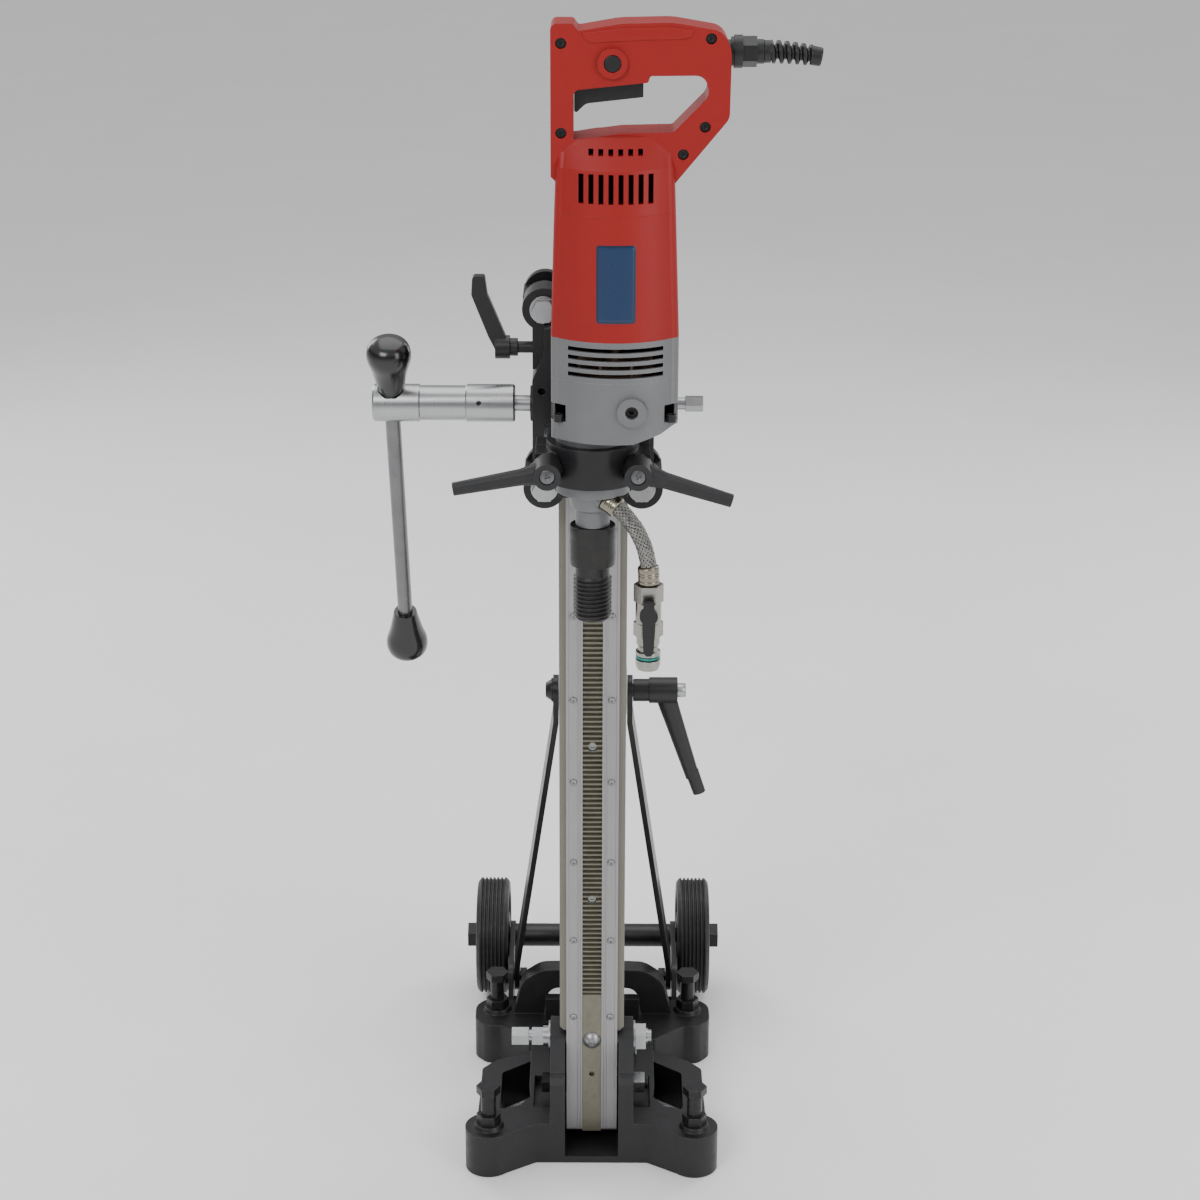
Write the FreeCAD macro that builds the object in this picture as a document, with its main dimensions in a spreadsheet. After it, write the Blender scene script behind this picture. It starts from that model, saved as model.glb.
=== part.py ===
import FreeCAD, Part
import math
import os
import re
from FreeCAD import Vector as V, Placement, Rotation

# Diamond core drill on a tilting column stand.
# X to the right, Y to the rear, Z up, millimetres.
# Origin: on the floor, on the centre plane, straight below the front face of the column's guide strips.

doc = FreeCAD.newDocument("core_drill_rig")
sheet = doc.addObject("Spreadsheet::Sheet", "dims")
SIZES = [
    ("base_rise", 42), ("wall_half", 52), ("front_face", -28), ("floor_thick", 6.5), ("cheek_in", 25), ("cheek_out", 39),
    ("foot_x", 96), ("foot_y_front", -31), ("foot_y_rear", 186), ("foot_radius", 22), ("level_radius", 7), ("level_hex", 19.5),
    ("pivot_y", 30), ("pivot_z", 102), ("pivot_radius", 8), ("lock_z", 52), ("lock_radius", 6), ("run_gap", 0.05),
    ("axle_y", 300), ("axle_z", 66), ("axle_tube_radius", 12), ("wheel_radius", 60), ("wheel_in", 87.6), ("wheel_out", 120.6),
    ("brace_y", 235), ("brace_z", 53), ("brace_top_y", 75), ("brace_top_z", 439), ("strut_wide", 28), ("strut_thick", 5),
    ("col_half", 30), ("col_front", 8), ("col_back", 68), ("col_low", 17), ("col_wide_low", 121), ("col_top", 917),
    ("rail_half", 23.7), ("rail_in", 8.9), ("rail_thick", 2.5), ("rack_half", 8.65), ("rack_tip", -0.5), ("rack_module", 1.5),
    ("rack_tooth_low", 163), ("rail_screw_x", 17.1), ("rail_screw_pitch", 80), ("rail_screw_first", 140),
    ("ear_x", 41.5), ("ear_radius", 18), ("ear_top_z", 821), ("ear_low_z", 665), ("roller_radius", 11.4),
    ("feed_y", -17.1), ("feed_z", 739), ("feed_teeth", 24), ("shaft_radius", 6.75), ("hub_radius", 16), ("hub_out", 185.6), ("hub_in", 66),
    ("bar_x", -170), ("bar_lean", 21), ("bar_radius", 6.5), ("knob_radius", 19), ("knob_long", 52), ("bar_reach", 236),
    ("spin_y", -120), ("motor_x", 17.2), ("neck_radius", 30), ("collar_radius", 37.5), ("collar_low", 707), ("collar_top", 740),
    ("stud_x", 36), ("stud_z", 722.5), ("case_low", 747.4), ("case_top", 797), ("vent_top", 830), ("motor_top", 928.5),
    ("case_half", 49.8), ("case_side", 22), ("case_crown", 23), ("wall_thick", 3),
    ("thread_radius", 15.875), ("thread_low", 585.6), ("adapter_radius", 19), ("adapter_low", 632), ("adapter_top", 666.5),
    ("hose_radius", 6.7), ("ferrule_radius", 8.8),
    ("handle_half", 19), ("handle_top", 1071),
]
P = {}
for row, (alias, value) in enumerate(SIZES, 1):
    sheet.set("A%d" % row, alias)
    sheet.set("B%d" % row, str(value))
    sheet.setAlias("B%d" % row, alias)
doc.recompute()
for alias, value in SIZES:
    P[alias] = float(sheet.get(alias))

WORD = re.compile(r"[A-Za-z_][A-Za-z_0-9]*")
FINAL = {}


def ex(text):
    return WORD.sub(lambda m: "dims." + m.group(0) if m.group(0) in P else m.group(0), str(text))


def bind(obj, prop, value):
    if isinstance(value, str):
        obj.setExpression(prop, ex(value))
    elif "." in prop:
        obj.setExpression(prop, repr(float(value)))
    else:
        setattr(obj, prop, value)


def span(lo, hi):
    if isinstance(lo, str) or isinstance(hi, str):
        return "(%s)-(%s)" % (hi, lo)
    return hi - lo


def place(obj, rot, base):
    obj.Placement = Placement(V(0, 0, 0), rot)
    for key, value in zip("xyz", base):
        if value != 0:
            obj.setExpression(".Placement.Base." + key, ex(value))


AXROT = {"X": Rotation(V(0, 1, 0), 90), "Y": Rotation(V(1, 0, 0), -90), "Z": Rotation()}


def at(axis, c, lo):
    return {"X": (lo, c[0], c[1]), "Y": (c[0], lo, c[1]), "Z": (c[0], c[1], lo)}[axis]


def box(name, x0, x1, y0, y1, z0, z1):
    o = doc.addObject("Part::Box", name)
    bind(o, "Length", span(x0, x1)); bind(o, "Width", span(y0, y1)); bind(o, "Height", span(z0, z1))
    place(o, Rotation(), (x0, y0, z0))
    return o


def cyl(name, axis, c, r, lo, hi):
    o = doc.addObject("Part::Cylinder", name)
    bind(o, "Radius", r); bind(o, "Height", span(lo, hi))
    place(o, AXROT[axis], at(axis, c, lo))
    return o


def cone(name, axis, c, r1, r2, lo, hi):
    o = doc.addObject("Part::Cone", name)
    bind(o, "Radius1", r1); bind(o, "Radius2", r2); bind(o, "Height", span(lo, hi))
    place(o, AXROT[axis], at(axis, c, lo))
    return o


def hexa(name, axis, c, flats, lo, hi):
    o = doc.addObject("Part::Prism", name)
    o.Polygon = 6
    bind(o, "Circumradius", "(%s)/1.7320508" % flats)
    bind(o, "Height", span(lo, hi))
    place(o, AXROT[axis], at(axis, c, lo))
    return o


def fuse(name, items):
    o = doc.addObject("Part::MultiFuse", name)
    o.Shapes = items
    o.Refine = True
    return o


def cut(name, base, tools):
    tool = tools[0] if len(tools) == 1 else fuse(name + "_tools", tools)
    o = doc.addObject("Part::Cut", name)
    o.Base = base
    o.Tool = tool
    return o


def common(name, a, b):
    o = doc.addObject("Part::Common", name)
    o.Base = a
    o.Tool = b
    return o


def group(name, items):
    o = doc.addObject("Part::Compound", name)
    o.Links = items
    return o


def mirror_x(name, item):
    o = doc.addObject("Part::Mirroring", name)
    o.Source = item
    o.Base = V(0, 0, 0)
    o.Normal = V(1, 0, 0)
    return o


def feature(name, shape):
    o = doc.addObject("Part::Feature", name)
    o.Shape = shape
    return o


def keep(node, obj):
    obj.Label = node
    FINAL[node] = obj
    return obj


def corner(a, b, c, r):
    # tangent points and mid point of a rounded corner at b
    va, vc = (a - b), (c - b)
    la, lc = va.Length, vc.Length
    va.normalize(); vc.normalize()
    half = math.acos(max(-1, min(1, va.dot(vc)))) / 2
    d = min(r / math.tan(half), 0.49 * la, 0.49 * lc)
    rr = d * math.tan(half)
    bis = (va + vc)
    bis.normalize()
    centre = b + bis * (rr / math.sin(half))
    return b + va * d, centre - bis * rr, b + vc * d


def outline(points):
    # closed loop of lines and arcs; a point is (u, v) or (u, v, corner radius)
    pts = [V(p[0], p[1], 0) for p in points]
    rad = [p[2] if len(p) > 2 else 0 for p in points]
    n = len(pts)
    ends, geo = [], []
    for i in range(n):
        if rad[i]:
            t1, mid, t2 = corner(pts[i - 1], pts[i], pts[(i + 1) % n], rad[i])
            ends.append((t1, t2))
            geo.append((i, Part.Arc(t1, mid, t2)))
        else:
            ends.append((pts[i], pts[i]))
    out = []
    arcs = dict(geo)
    for i in range(n):
        if i in arcs:
            out.append(arcs[i])
        a, b = ends[i][1], ends[(i + 1) % n][0]
        if (a - b).Length > 1e-6:
            out.append(Part.LineSegment(a, b))
    return out


def flat_on(body, role):
    return [f for f in body.Origin.OriginFeatures if f.Role == role][0]


def pad(name, plane, loops, lo, hi):
    # a sketch on the body's own XY plane, padded along its normal, and the body stood up by its placement
    body = doc.addObject("PartDesign::Body", name)
    sk = body.newObject("Sketcher::SketchObject", name + "_sketch")
    sk.AttachmentSupport = [(flat_on(body, "XY_Plane"), "")]
    sk.MapMode = "FlatFace"
    for loop in loops:
        if loop[0] == "circle":
            sk.addGeometry(Part.Circle(V(loop[1], loop[2], 0), V(0, 0, 1), loop[3]), False)
        else:
            sk.addGeometry([g for g in outline(loop)], False)
    p = body.newObject("PartDesign::Pad", name + "_pad")
    p.Profile = sk
    bind(p, "Length", span(lo, hi))
    body.Tip = p
    if plane == "XY":
        place(body, Rotation(), (0, 0, lo))
    elif plane == "XZ":
        place(body, Rotation(V(1, 0, 0), 90), (0, hi, 0))
    else:
        place(body, Rotation(V(1, 1, 1), 120), (lo, 0, 0))
    return body


def turned(name, axis, c, prof, start=0):
    # a profile of (radius, distance along the axis) turned a full circle about the axis
    body = doc.addObject("PartDesign::Body", name)
    sk = body.newObject("Sketcher::SketchObject", name + "_sketch")
    sk.AttachmentSupport = [(flat_on(body, "XZ_Plane"), "")]
    sk.MapMode = "FlatFace"
    sk.addGeometry([g for g in outline(prof)], False)
    r = body.newObject("PartDesign::Revolution", name + "_turn")
    r.Profile = sk
    r.ReferenceAxis = (sk, ["V_Axis"])
    r.Angle = 360
    body.Tip = r
    place(body, AXROT[axis], at(axis, c, start))
    return body


def face(points, z=0.0):
    w = Part.Wire(Part.__sortEdges__([g.toShape() for g in outline(points)]))
    f = Part.Face(w)
    f.translate(V(0, 0, z))
    return f


def involute(teeth, module, add, ded, thin):
    # gear outline about the origin; the first tooth points along +X
    rp = teeth * module / 2.0
    rb = rp * math.cos(math.radians(20))
    ra, rf = rp + add, rp - ded
    inv = lambda a: math.tan(a) - a
    half = math.pi / (2 * teeth) - thin / (2 * rp) + inv(math.radians(20))
    flank = []
    r0 = max(rb, rf)
    for i in range(6):
        r = r0 + (ra - r0) * i / 5.0
        a = half - inv(math.acos(min(1.0, rb / r)))
        flank.append((r, a))
    pts = []
    for k in range(teeth):
        c = 2 * math.pi * k / teeth
        if rf < rb:
            pts.append((rf, c - flank[0][1]))
        for r, a in flank:
            pts.append((r, c - a))
        for r, a in reversed(flank):
            pts.append((r, c + a))
        if rf < rb:
            pts.append((rf, c + flank[0][1]))
    pts = [V(r * math.cos(a), r * math.sin(a), 0) for r, a in pts]
    return Part.makePolygon(pts + [pts[0]])


def gear(teeth, module, add, ded, thin, lo, hi, turn=0.0):
    s = Part.Face(involute(teeth, module, add, ded, thin)).extrude(V(0, 0, hi - lo))
    s.rotate(V(0, 0, 0), V(0, 0, 1), turn)
    s.translate(V(0, 0, lo))
    return s


# ------------------------------------------------------------------ base casting
def both(points):
    return [(-p[0],) + tuple(p[1:]) for p in points]


front_arm = [(45, -28), (52, -28, 6), (88, -51.5), (112, -16), (85.8, -2, 8), (67.9, 4.6, 10), (58.4, 20.6, 6), (45, 24)]
side_arm = [(86.5, -12), (86.8, 65.5, 5), (58.4, 88.1, 3), (44, 93), (44, 114), (59.9, 108.3), (93, 89, 7), (106.5, 73.5, 8), (106.5, 36), (107.5, -18)]
rear_arm = [(40, 126), (62, 127, 8), (90, 151.5, 8), (106, 152, 12), (117.9, 166, 14), (118, 186), (96, 207.9), (40, 200)]
core_plan = [(-52, -28), (52, -28), (53, 0), (58.4, 20.6), (60, 40), (60, 200, 4), (-60, 200, 4), (-60, 40), (-58.4, 20.6), (-53, 0)]
cheek = [(-28, 0), (-28, 83), (-23, 88.5), (-23, 93, 4), (4, 119.5, 12), (38, 119.5, 4), (108, 49.5, 6), (112, 42), (112, 0)]
arch = [(80, 38), (71, 78, 22), (52, 91, 22), (0, 92.5), (-52, 91, 22), (-71, 78, 22), (-80, 38), (-50, 38), (-44, 71, 12), (0, 73), (44, 71, 12), (50, 38)]
solids = [pad("base_core", "XY", [core_plan], 0, "base_rise")]
for tag, flip in (("r", 0), ("l", 1)):
    f = both if flip else (lambda p: p)
    sx = "-" if flip else ""
    solids.append(pad("base_front_arm_" + tag, "XY", [f(front_arm)], 0, "base_rise"))
    solids.append(pad("base_side_arm_" + tag, "XY", [f(side_arm)], 0, "base_rise-1.5"))
    solids.append(pad("base_rear_arm_" + tag, "XY", [f(rear_arm)], 0, "base_rise"))
    solids.append(cyl("base_foot_front_" + tag, "Z", (sx + "foot_x", "foot_y_front"), "foot_radius", 0, "base_rise"))
    solids.append(cyl("base_foot_rear_" + tag, "Z", (sx + "foot_x", "foot_y_rear"), "foot_radius", 0, "base_rise"))
    solids.append(cone("base_boss_front_" + tag, "Z", (sx + "foot_x", "foot_y_front"), 14.5, 12.5, "base_rise-1", "base_rise+4"))
    solids.append(cone("base_boss_rear_" + tag, "Z", (sx + "foot_x", "foot_y_rear"), 14.5, 12.5, "base_rise-1", "base_rise+4"))
    x0, x1 = ("-cheek_out", "-cheek_in") if flip else ("cheek_in", "cheek_out")
    solids.append(pad("base_cheek_" + tag, "YZ", [cheek], x0, x1))
    a, b = (-81, -62) if flip else (62, 81)
    solids.append(box("base_lug_" + tag, a, b, 194, 220, 0, 38))
solids.append(pad("base_arch", "XZ", [arch], 177, 197))
solids.append(box("base_rear_wall", -47, 47, 162, 173, 8, 67))
base_all = fuse("base_body", solids)
tools = [
    box("base_pocket", "-cheek_in", "cheek_in", -40, 76, "floor_thick", 130),
    pad("base_tray", "XY", [[(-50, 119, 8), (50, 119, 8), (50, 160, 8), (-50, 160, 8)]], 10, 60),
    pad("base_anchor_slot", "XY", [[(-9, 84, 8.9), (9, 84, 8.9), (9, 154, 8.9), (-9, 154, 8.9)]], -2, 14),
    box("base_tray_low", "-cheek_in", "cheek_in", 82, 121, 10, 60),
    cyl("base_pin_bore", "X", ("pivot_y", "pivot_z"), "pivot_radius+run_gap", -60, 60),
    box("base_nut_room_r", "cheek_out", 55, 2, 58, 34, 60),
    box("base_nut_room_l", -55, "-cheek_out", 2, 58, 34, 60),
    box("base_nut_front_r", "cheek_out", 55, -32, 3, "base_rise+2", 60),
]
arc_r = P["pivot_z"] - P["lock_z"]
hw = P["lock_radius"] + 0.3
ring = Part.makeCylinder(arc_r + hw, 100, V(-50, 0, 0), V(1, 0, 0)).cut(Part.makeCylinder(arc_r - hw, 100, V(-50, 0, 0), V(1, 0, 0)))
wedge = Part.Face(Part.makePolygon([V(0, 0, 0), V(0, 90 * math.cos(math.radians(-135.5)), 90 * math.sin(math.radians(-135.5))),
                                   V(0, -60, -90), V(0, 0, -90), V(0, 0, 0)]))
wedge.translate(V(-50, 0, 0))
wedge = wedge.extrude(V(100, 0, 0))
slot = ring.common(wedge)
for deg in (-90, -135.5):
    slot = slot.fuse(Part.makeCylinder(hw, 100, V(-50, arc_r * math.cos(math.radians(deg)), arc_r * math.sin(math.radians(deg))), V(1, 0, 0)))
arc_slot = feature("base_arc_slot", slot)
arc_slot.Placement = Placement(V(0, P["pivot_y"], P["pivot_z"]), Rotation())
tools.append(arc_slot)
for tag, sx in (("r", ""), ("l", "-")):
    for end in ("front", "rear"):
        tools.append(cyl("base_level_bore_%s_%s" % (end, tag), "Z", (sx + "foot_x", "foot_y_" + end), "level_radius+run_gap", -2, 60))
        tools.append(cyl("base_level_relief_%s_%s" % (end, tag), "Z", (sx + "foot_x", "foot_y_" + end), "level_radius+5", -2, 10))
keep("base_frame", cut("base_frame", base_all, tools))

# levelling screws: slide down through the feet; jam nuts on top of the bosses
for node, sx, yy in (("leveling_screw_fl", "-", "foot_y_front"), ("leveling_screw_fr", "", "foot_y_front"),
                     ("leveling_screw_rl", "-", "foot_y_rear"), ("leveling_screw_rr", "", "foot_y_rear")):
    c = (sx + "foot_x", yy)
    keep(node, fuse(node, [cyl(node + "_shank", "Z", c, "level_radius", 11, 78), cone(node + "_tip", "Z", c, 4.5, "level_radius", 8.5, 11),
                           cyl(node + "_flange", "Z", c, 9.2, 76.5, 78), hexa(node + "_head", "Z", c, "level_hex", 77.5, 85)]))
nuts = []
for i, (sx, yy) in enumerate((("-", "foot_y_front"), ("", "foot_y_front"), ("-", "foot_y_rear"), ("", "foot_y_rear"))):
    c = (sx + "foot_x", yy)
    nuts.append(cut("jam_nut_%d" % i, hexa("jam_nut_hex_%d" % i, "Z", c, "level_hex", "base_rise+4.1", "base_rise+13.5"),
                    [cyl("jam_nut_bore_%d" % i, "Z", c, "level_radius+run_gap", 40, 70)]))
keep("leveling_jam_nuts", group("leveling_jam_nuts", nuts))

# wheel brackets, axle tube, bolts, wheels
bracket = [(208.2, 3, 3), (208.2, 40, 3), (224, 68, 12), (292, 82, 10), (315, 78, 14), (316, 52, 14), (262, 36, 30), (222, 3, 6)]
holes = [("circle", P["axle_y"], P["axle_z"], 8.0), ("circle", P["brace_y"], P["brace_z"], 5.0), ("circle", 215, 12, 4.0), ("circle", 215, 30, 4.0)]
# the foot's rear side is cleared by the plate's own front edge
br = cut("wheel_bracket_r", pad("wheel_bracket_plate", "YZ", [bracket] + holes, 81, 86), [cyl("wheel_bracket_relief", "Z", ("foot_x", "foot_y_rear"), "foot_radius+0.3", -5, 43)])
keep("wheel_brackets", group("wheel_brackets", [br, mirror_x("wheel_bracket_l", br)]))
keep("wheel_axle", cut("wheel_axle", cyl("axle_tube", "X", ("axle_y", "axle_z"), "axle_tube_radius", -81, 81), [cyl("axle_bore", "X", ("axle_y", "axle_z"), 8, -90, 90)]))
ca = ("axle_y", "axle_z")
cb = ("brace_y", "brace_z")
ab = fuse("axle_bolt_r", [cyl("axle_bolt_shank", "X", ca, 8, 50, 122), hexa("axle_bolt_head", "X", ca, 24, 121.2, 131)])
pb = fuse("brace_bolt_r", [cyl("brace_bolt_shank", "X", cb, 5, 74, 86), hexa("brace_bolt_head", "X", cb, 17, 67.5, 74.4)])
bb = [fuse("bracket_bolt_%d" % z, [cyl("bracket_bolt_shank_%d" % z, "X", (215, z), 4, 81, 87), hexa("bracket_bolt_head_%d" % z, "X", (215, z), 13, 86, 92)]) for z in (12, 30)]
right = [ab, pb] + bb
keep("hex_bolts", group("hex_bolts", right + [mirror_x("hex_bolt_l_%d" % i, b) for i, b in enumerate(right)]))
wr = P["wheel_radius"]
w0, w1 = P["wheel_in"], P["wheel_out"]
prof = [(8 + P["run_gap"], w0), (24, w0), (24, w0 + 5), (44, w0 + 5, 2), (47, w0, 2), (56, w0, 4), (wr, w0 + 3.5, 1)]
for i in range(6):
    x = w0 + 5.2 + i * 4.0
    prof += [(wr, x), (wr - 2, x + 0.6), (wr - 2, x + 1.9), (wr, x + 2.5)]
prof += [(wr, w1 - 3.5, 1), (56, w1, 4), (47, w1, 2), (44, w1 - 5, 2), (24, w1 - 5), (24, w1), (8 + P["run_gap"], w1)]
wheel = turned("wheel_right", "X", ca, prof)
keep("wheel_right", wheel)
keep("wheel_left", mirror_x("wheel_left", wheel))

# ------------------------------------------------------------------ brace: struts, screw, lever, slider
B = V(0, P["brace_y"], P["brace_z"])
T = V(0, P["brace_top_y"], P["brace_top_z"])
L = (T - B).Length
th = P["strut_thick"] / 2
lowx, topx = 77.5, 34.0
bar = [(-14, lowx - th), (24, lowx - th, 12), (L - 30, topx - th, 12), (L + 14, topx - th), (L + 14, topx + th), (L - 30 + 1.1, topx + th, 12), (24 + 1.1, lowx + th, 12), (-14, lowx + th)]
strut = face(bar).extrude(V(0, 0, P["strut_wide"]))
strut.translate(V(0, 0, -P["strut_wide"] / 2))
hwid = P["strut_wide"] / 2
mask = Part.makeCylinder(hwid, 120, V(0, 0, 0), V(0, 1, 0)).fuse(Part.makeCylinder(hwid, 120, V(L, 0, 0), V(0, 1, 0))).fuse(Part.makeBox(L, 120, 2 * hwid, V(0, 0, -hwid)))
strut = strut.common(mask)
strut = strut.cut(Part.makeCylinder(5 + P["run_gap"], 140, V(0, -5, 0), V(0, 1, 0))).cut(Part.makeCylinder(6 + P["run_gap"], 140, V(L, -5, 0), V(0, 1, 0)))
# local axes: along the bar, across in X, and the bar's width
u = (T - B)
u.normalize()
m = FreeCAD.Matrix(0, 1, 0, 0, u.y, 0, u.z, B.y, u.z, 0, -u.y, B.z, 0, 0, 0, 1)
strut_r = feature("brace_strut_r", strut)
strut_r.Placement = Placement(m)
keep("brace_struts", group("brace_struts", [strut_r, mirror_x("brace_strut_l", strut_r)]))
ct = ("brace_top_y", "brace_top_z")
keep("brace_screw", fuse("brace_screw", [cyl("brace_screw_shank", "X", ct, 6, -37, -31.6), cyl("brace_screw_washer", "X", ct, 11, -38.2, -36.6),
                                         cone("brace_screw_head", "X", ct, 6.5, 10, -43.4, -38.1)]))


def lever_arm(root, tip, r0, r1, flat, hook=None):
    # tapered arm between two ellipse sections, plus a rounded end
    d = tip - root
    secs = []
    d.normalize()
    for pos, rad in ((root, r0), ((root + tip) * 0.5, (r0 * 0.45 + r1 * 0.55)), (tip, r1)):
        e = Part.Wire(Part.Edge(Part.Ellipse(V(0, 0, 0), rad, rad * flat)))
        e.Placement = Placement(pos, Rotation(V(0, 0, 1), d))
        secs.append(e)
    return Part.makeLoft(secs, True)


arm = lever_arm(V(66, 75, 436), V(93, 75, 352), 9.5, 6.5, 0.72)
arm = arm.fuse(lever_arm(V(92, 75, 358), V(99.5, 75, 336), 6.4, 6.0, 0.8))
arm = arm.fuse(Part.makeCylinder(12, 26, V(51.6, 75, 439), V(1, 0, 0)))
arm = arm.fuse(Part.makeCylinder(10.4, 14.8, V(36.9, 75, 439), V(1, 0, 0)))
arm = arm.fuse(Part.makeCylinder(6, 8, V(31.6, 75, 439), V(1, 0, 0)))
arm = arm.fuse(Part.makeCylinder(6.3, 7.5, V(77.5, 75, 439), V(1, 0, 0)))
keep("brace_lever", feature("brace_lever", arm))
tz = P["brace_top_z"]
sl = [(-31, 68.4), (-5.7, 68.4), (-5.7, 60), (-10.6, 60), (-10.6, 52.6), (10.6, 52.6), (10.6, 60), (5.7, 60), (5.7, 68.4), (31, 68.4), (31, 88, 6), (-31, 88, 6)]
keep("brace_slider", cut("brace_slider", pad("brace_slider_block", "XY", [sl], "brace_top_z-21", "brace_top_z+21"),
                         [cyl("brace_slider_tap_r", "X", ct, 6, 12, 40), cyl("brace_slider_tap_l", "X", ct, 6, -40, -12)]))

# ------------------------------------------------------------------ column
cb0, cw, ctp = P["col_low"], P["col_wide_low"], P["col_top"]
wide = pad("column_wide", "XZ", [[(-30, ctp), (-30, cw + 4), (-26, cw), (26, cw), (30, cw + 4), (30, ctp)]], "col_front", "col_back")
narrow = box("column_narrow", "-rail_half", "rail_half", "rail_thick", "col_back", "col_low", "col_top")
body = fuse("column_body", [wide, narrow])
tools = [pad("column_hollow", "XY", [[(-18, 14, 3), (18, 14, 3), (18, 47, 3), (-18, 47, 3)]], 0, 930),
         box("column_slot_neck", -6, 6, 59, 80, 0, 930), box("column_slot_foot", -11, 11, 52, 60.5, 0, 930),
         box("column_rack_seat", "-rack_half-0.05", "rack_half+0.05", -2, 7.05, 0, 930),
         pad("column_side_slot_r", "XY", [[(27, 32), (31, 32), (31, 42), (27, 42)]], 121, 930),
         pad("column_side_slot_l", "XY", [[(-27, 32), (-31, 32), (-31, 42), (-27, 42)]], 121, 930),
         cyl("column_pivot_bore", "X", ("pivot_y", "pivot_z"), "pivot_radius", -40, 40),
         cyl("column_lock_bore", "X", ("pivot_y", "lock_z"), "lock_radius", -40, 40)]
n_rail = 10
zs = [P["rail_screw_first"] + P["rail_screw_pitch"] * i for i in range(n_rail)]
shanks = Part.makeCompound([Part.makeCylinder(2, 9, V(s * P["rail_screw_x"], 0, z), V(0, 1, 0)) for z in zs for s in (-1, 1)])
tools.append(feature("column_rail_taps", shanks))
rack_z = [262, 414, 566, 718, 870]
tools.append(feature("column_rack_taps", Part.makeCompound([Part.makeCylinder(2.5, 14, V(0, 0, z), V(0, 1, 0)) for z in rack_z] + [Part.makeCylinder(4, 14, V(0, 0, 115), V(0, 1, 0))])))
keep("column_extrusion", cut("column_extrusion", body, tools))
strips = []
for tag, s in (("r", 1), ("l", -1)):
    a, b = P["rail_in"], P["rail_half"]
    q = [(s * a, 2.5), (s * a, -0.6), (s * (a + 1.6), -0.6), (s * (a + 2.2), 0), (s * (a + 3.4), 0), (s * (a + 3.8), -0.5), (s * (a + 4.6), -0.5), (s * (a + 5.0), 0),
         (s * (b - 2.6), 0), (s * (b - 2.2), -0.6), (s * b, -0.6), (s * b, 2.5)]
    plate = pad("rail_strip_" + tag, "XY", [q], "col_low+3", "col_top-8")
    strips.append(cut("rail_strip_cut_" + tag, plate, [feature("rail_holes_" + tag, Part.makeCompound([Part.makeCylinder(2, 6, V(s * P["rail_screw_x"], -2, z), V(0, 1, 0)) for z in zs]))]))
keep("rail_strips", group("rail_strips", strips))
mod = P["rack_module"]
pitch = math.pi * mod
tip = P["rack_tip"]
root = tip + 2.25 * mod
line = tip + mod
t20 = math.tan(math.radians(20))
half_t = pitch / 4 - 0.06
gz = P["feed_z"]
pts = [V(0, 7, P["col_low"]), V(0, 0, P["col_low"]), V(0, 0, P["rack_tooth_low"])]
k = math.ceil((P["rack_tooth_low"] + 3 - gz) / pitch - 0.5)
while gz + (k + 0.5) * pitch < P["col_top"] - 14:
    c = gz + (k + 0.5) * pitch
    pts += [V(0, root, c - half_t - (root - line) * t20), V(0, tip, c - half_t + (line - tip) * t20),
            V(0, tip, c + half_t - (line - tip) * t20), V(0, root, c + half_t + (root - line) * t20)]
    k += 1
pts += [V(0, 0, P["col_top"] - 11), V(0, 0, P["col_top"] - 8), V(0, 7, P["col_top"] - 8)]
rack = Part.Face(Part.makePolygon(pts + [pts[0]])).extrude(V(2 * P["rack_half"], 0, 0))
rack.translate(V(-P["rack_half"], 0, 0))
for z in rack_z:
    rack = rack.cut(Part.makeCylinder(4.1, 7.5, V(0, -2, z), V(0, 1, 0))).cut(Part.makeCylinder(2.5, 12, V(0, 0, z), V(0, 1, 0)))
rack = rack.cut(Part.makeCylinder(4, 12, V(0, -1, 115), V(0, 1, 0))).cut(Part.makeCylinder(2.6, 5, V(0, -1, 79), V(0, 1, 0)))
keep("gear_rack", feature("gear_rack", rack))
screws = []
for z in zs:
    for s in (-1, 1):
        c = V(s * P["rail_screw_x"], 0, z)
        head = Part.makeCone(3.3, 2.2, 2.0, c, V(0, -1, 0)).cut(Part.makeCylinder(1.2, 1.2, c + V(0, -2.0, 0), V(0, 1, 0)))
        screws.append(head.fuse(Part.makeCylinder(2, 8.5, c, V(0, 1, 0))))
for z in rack_z:
    c = V(0, 5.5, z)
    screws.append(Part.makeCylinder(4.0, 2.5, c, V(0, -1, 0)).cut(Part.makeCylinder(2, 1.5, c + V(0, -2.5, 0), V(0, 1, 0))).fuse(Part.makeCylinder(2.5, 8.2, c, V(0, 1, 0))))
dome = Part.makeSphere(10.0, V(0, 5.0, 115)).common(Part.makeBox(30, 20, 30, V(-15, -20, 100)))
dome = dome.cut(Part.makeCylinder(2.5, 3, V(0, -5.5, 115), V(0, 1, 0))).fuse(Part.makeCylinder(4, 13.5, V(0, 0, 115), V(0, 1, 0)))
screws.append(dome)
keep("column_screws", feature("column_screws", Part.makeCompound(screws)))
keep("column_cap", pad("column_cap", "XY", [[(-30, 3, 3), (30, 3, 3), (30, 68, 3), (-30, 68, 3)]], "col_top", "col_top+4"))
cp = ("pivot_y", "pivot_z")
keep("tilt_pivot_pin", fuse("tilt_pivot_pin", [hexa("pin_hex_outer", "X", cp, 16.5, -75.8, -59.7), cyl("pin_neck", "X", cp, 6.3, -60, -56.6),
                                               hexa("pin_hex_inner", "X", cp, 16.5, -56.8, -46), cyl("pin_collar", "X", cp, 10, -46.2, -40.6),
                                               cyl("pin_washer", "X", cp, 15, -40.8, -39.3), cyl("pin_shank", "X", cp, "pivot_radius", -41, 53),
                                               cyl("pin_end", "X", cp, 6.6, 52, 56.2)]))
cl = ("pivot_y", "lock_z")
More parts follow.
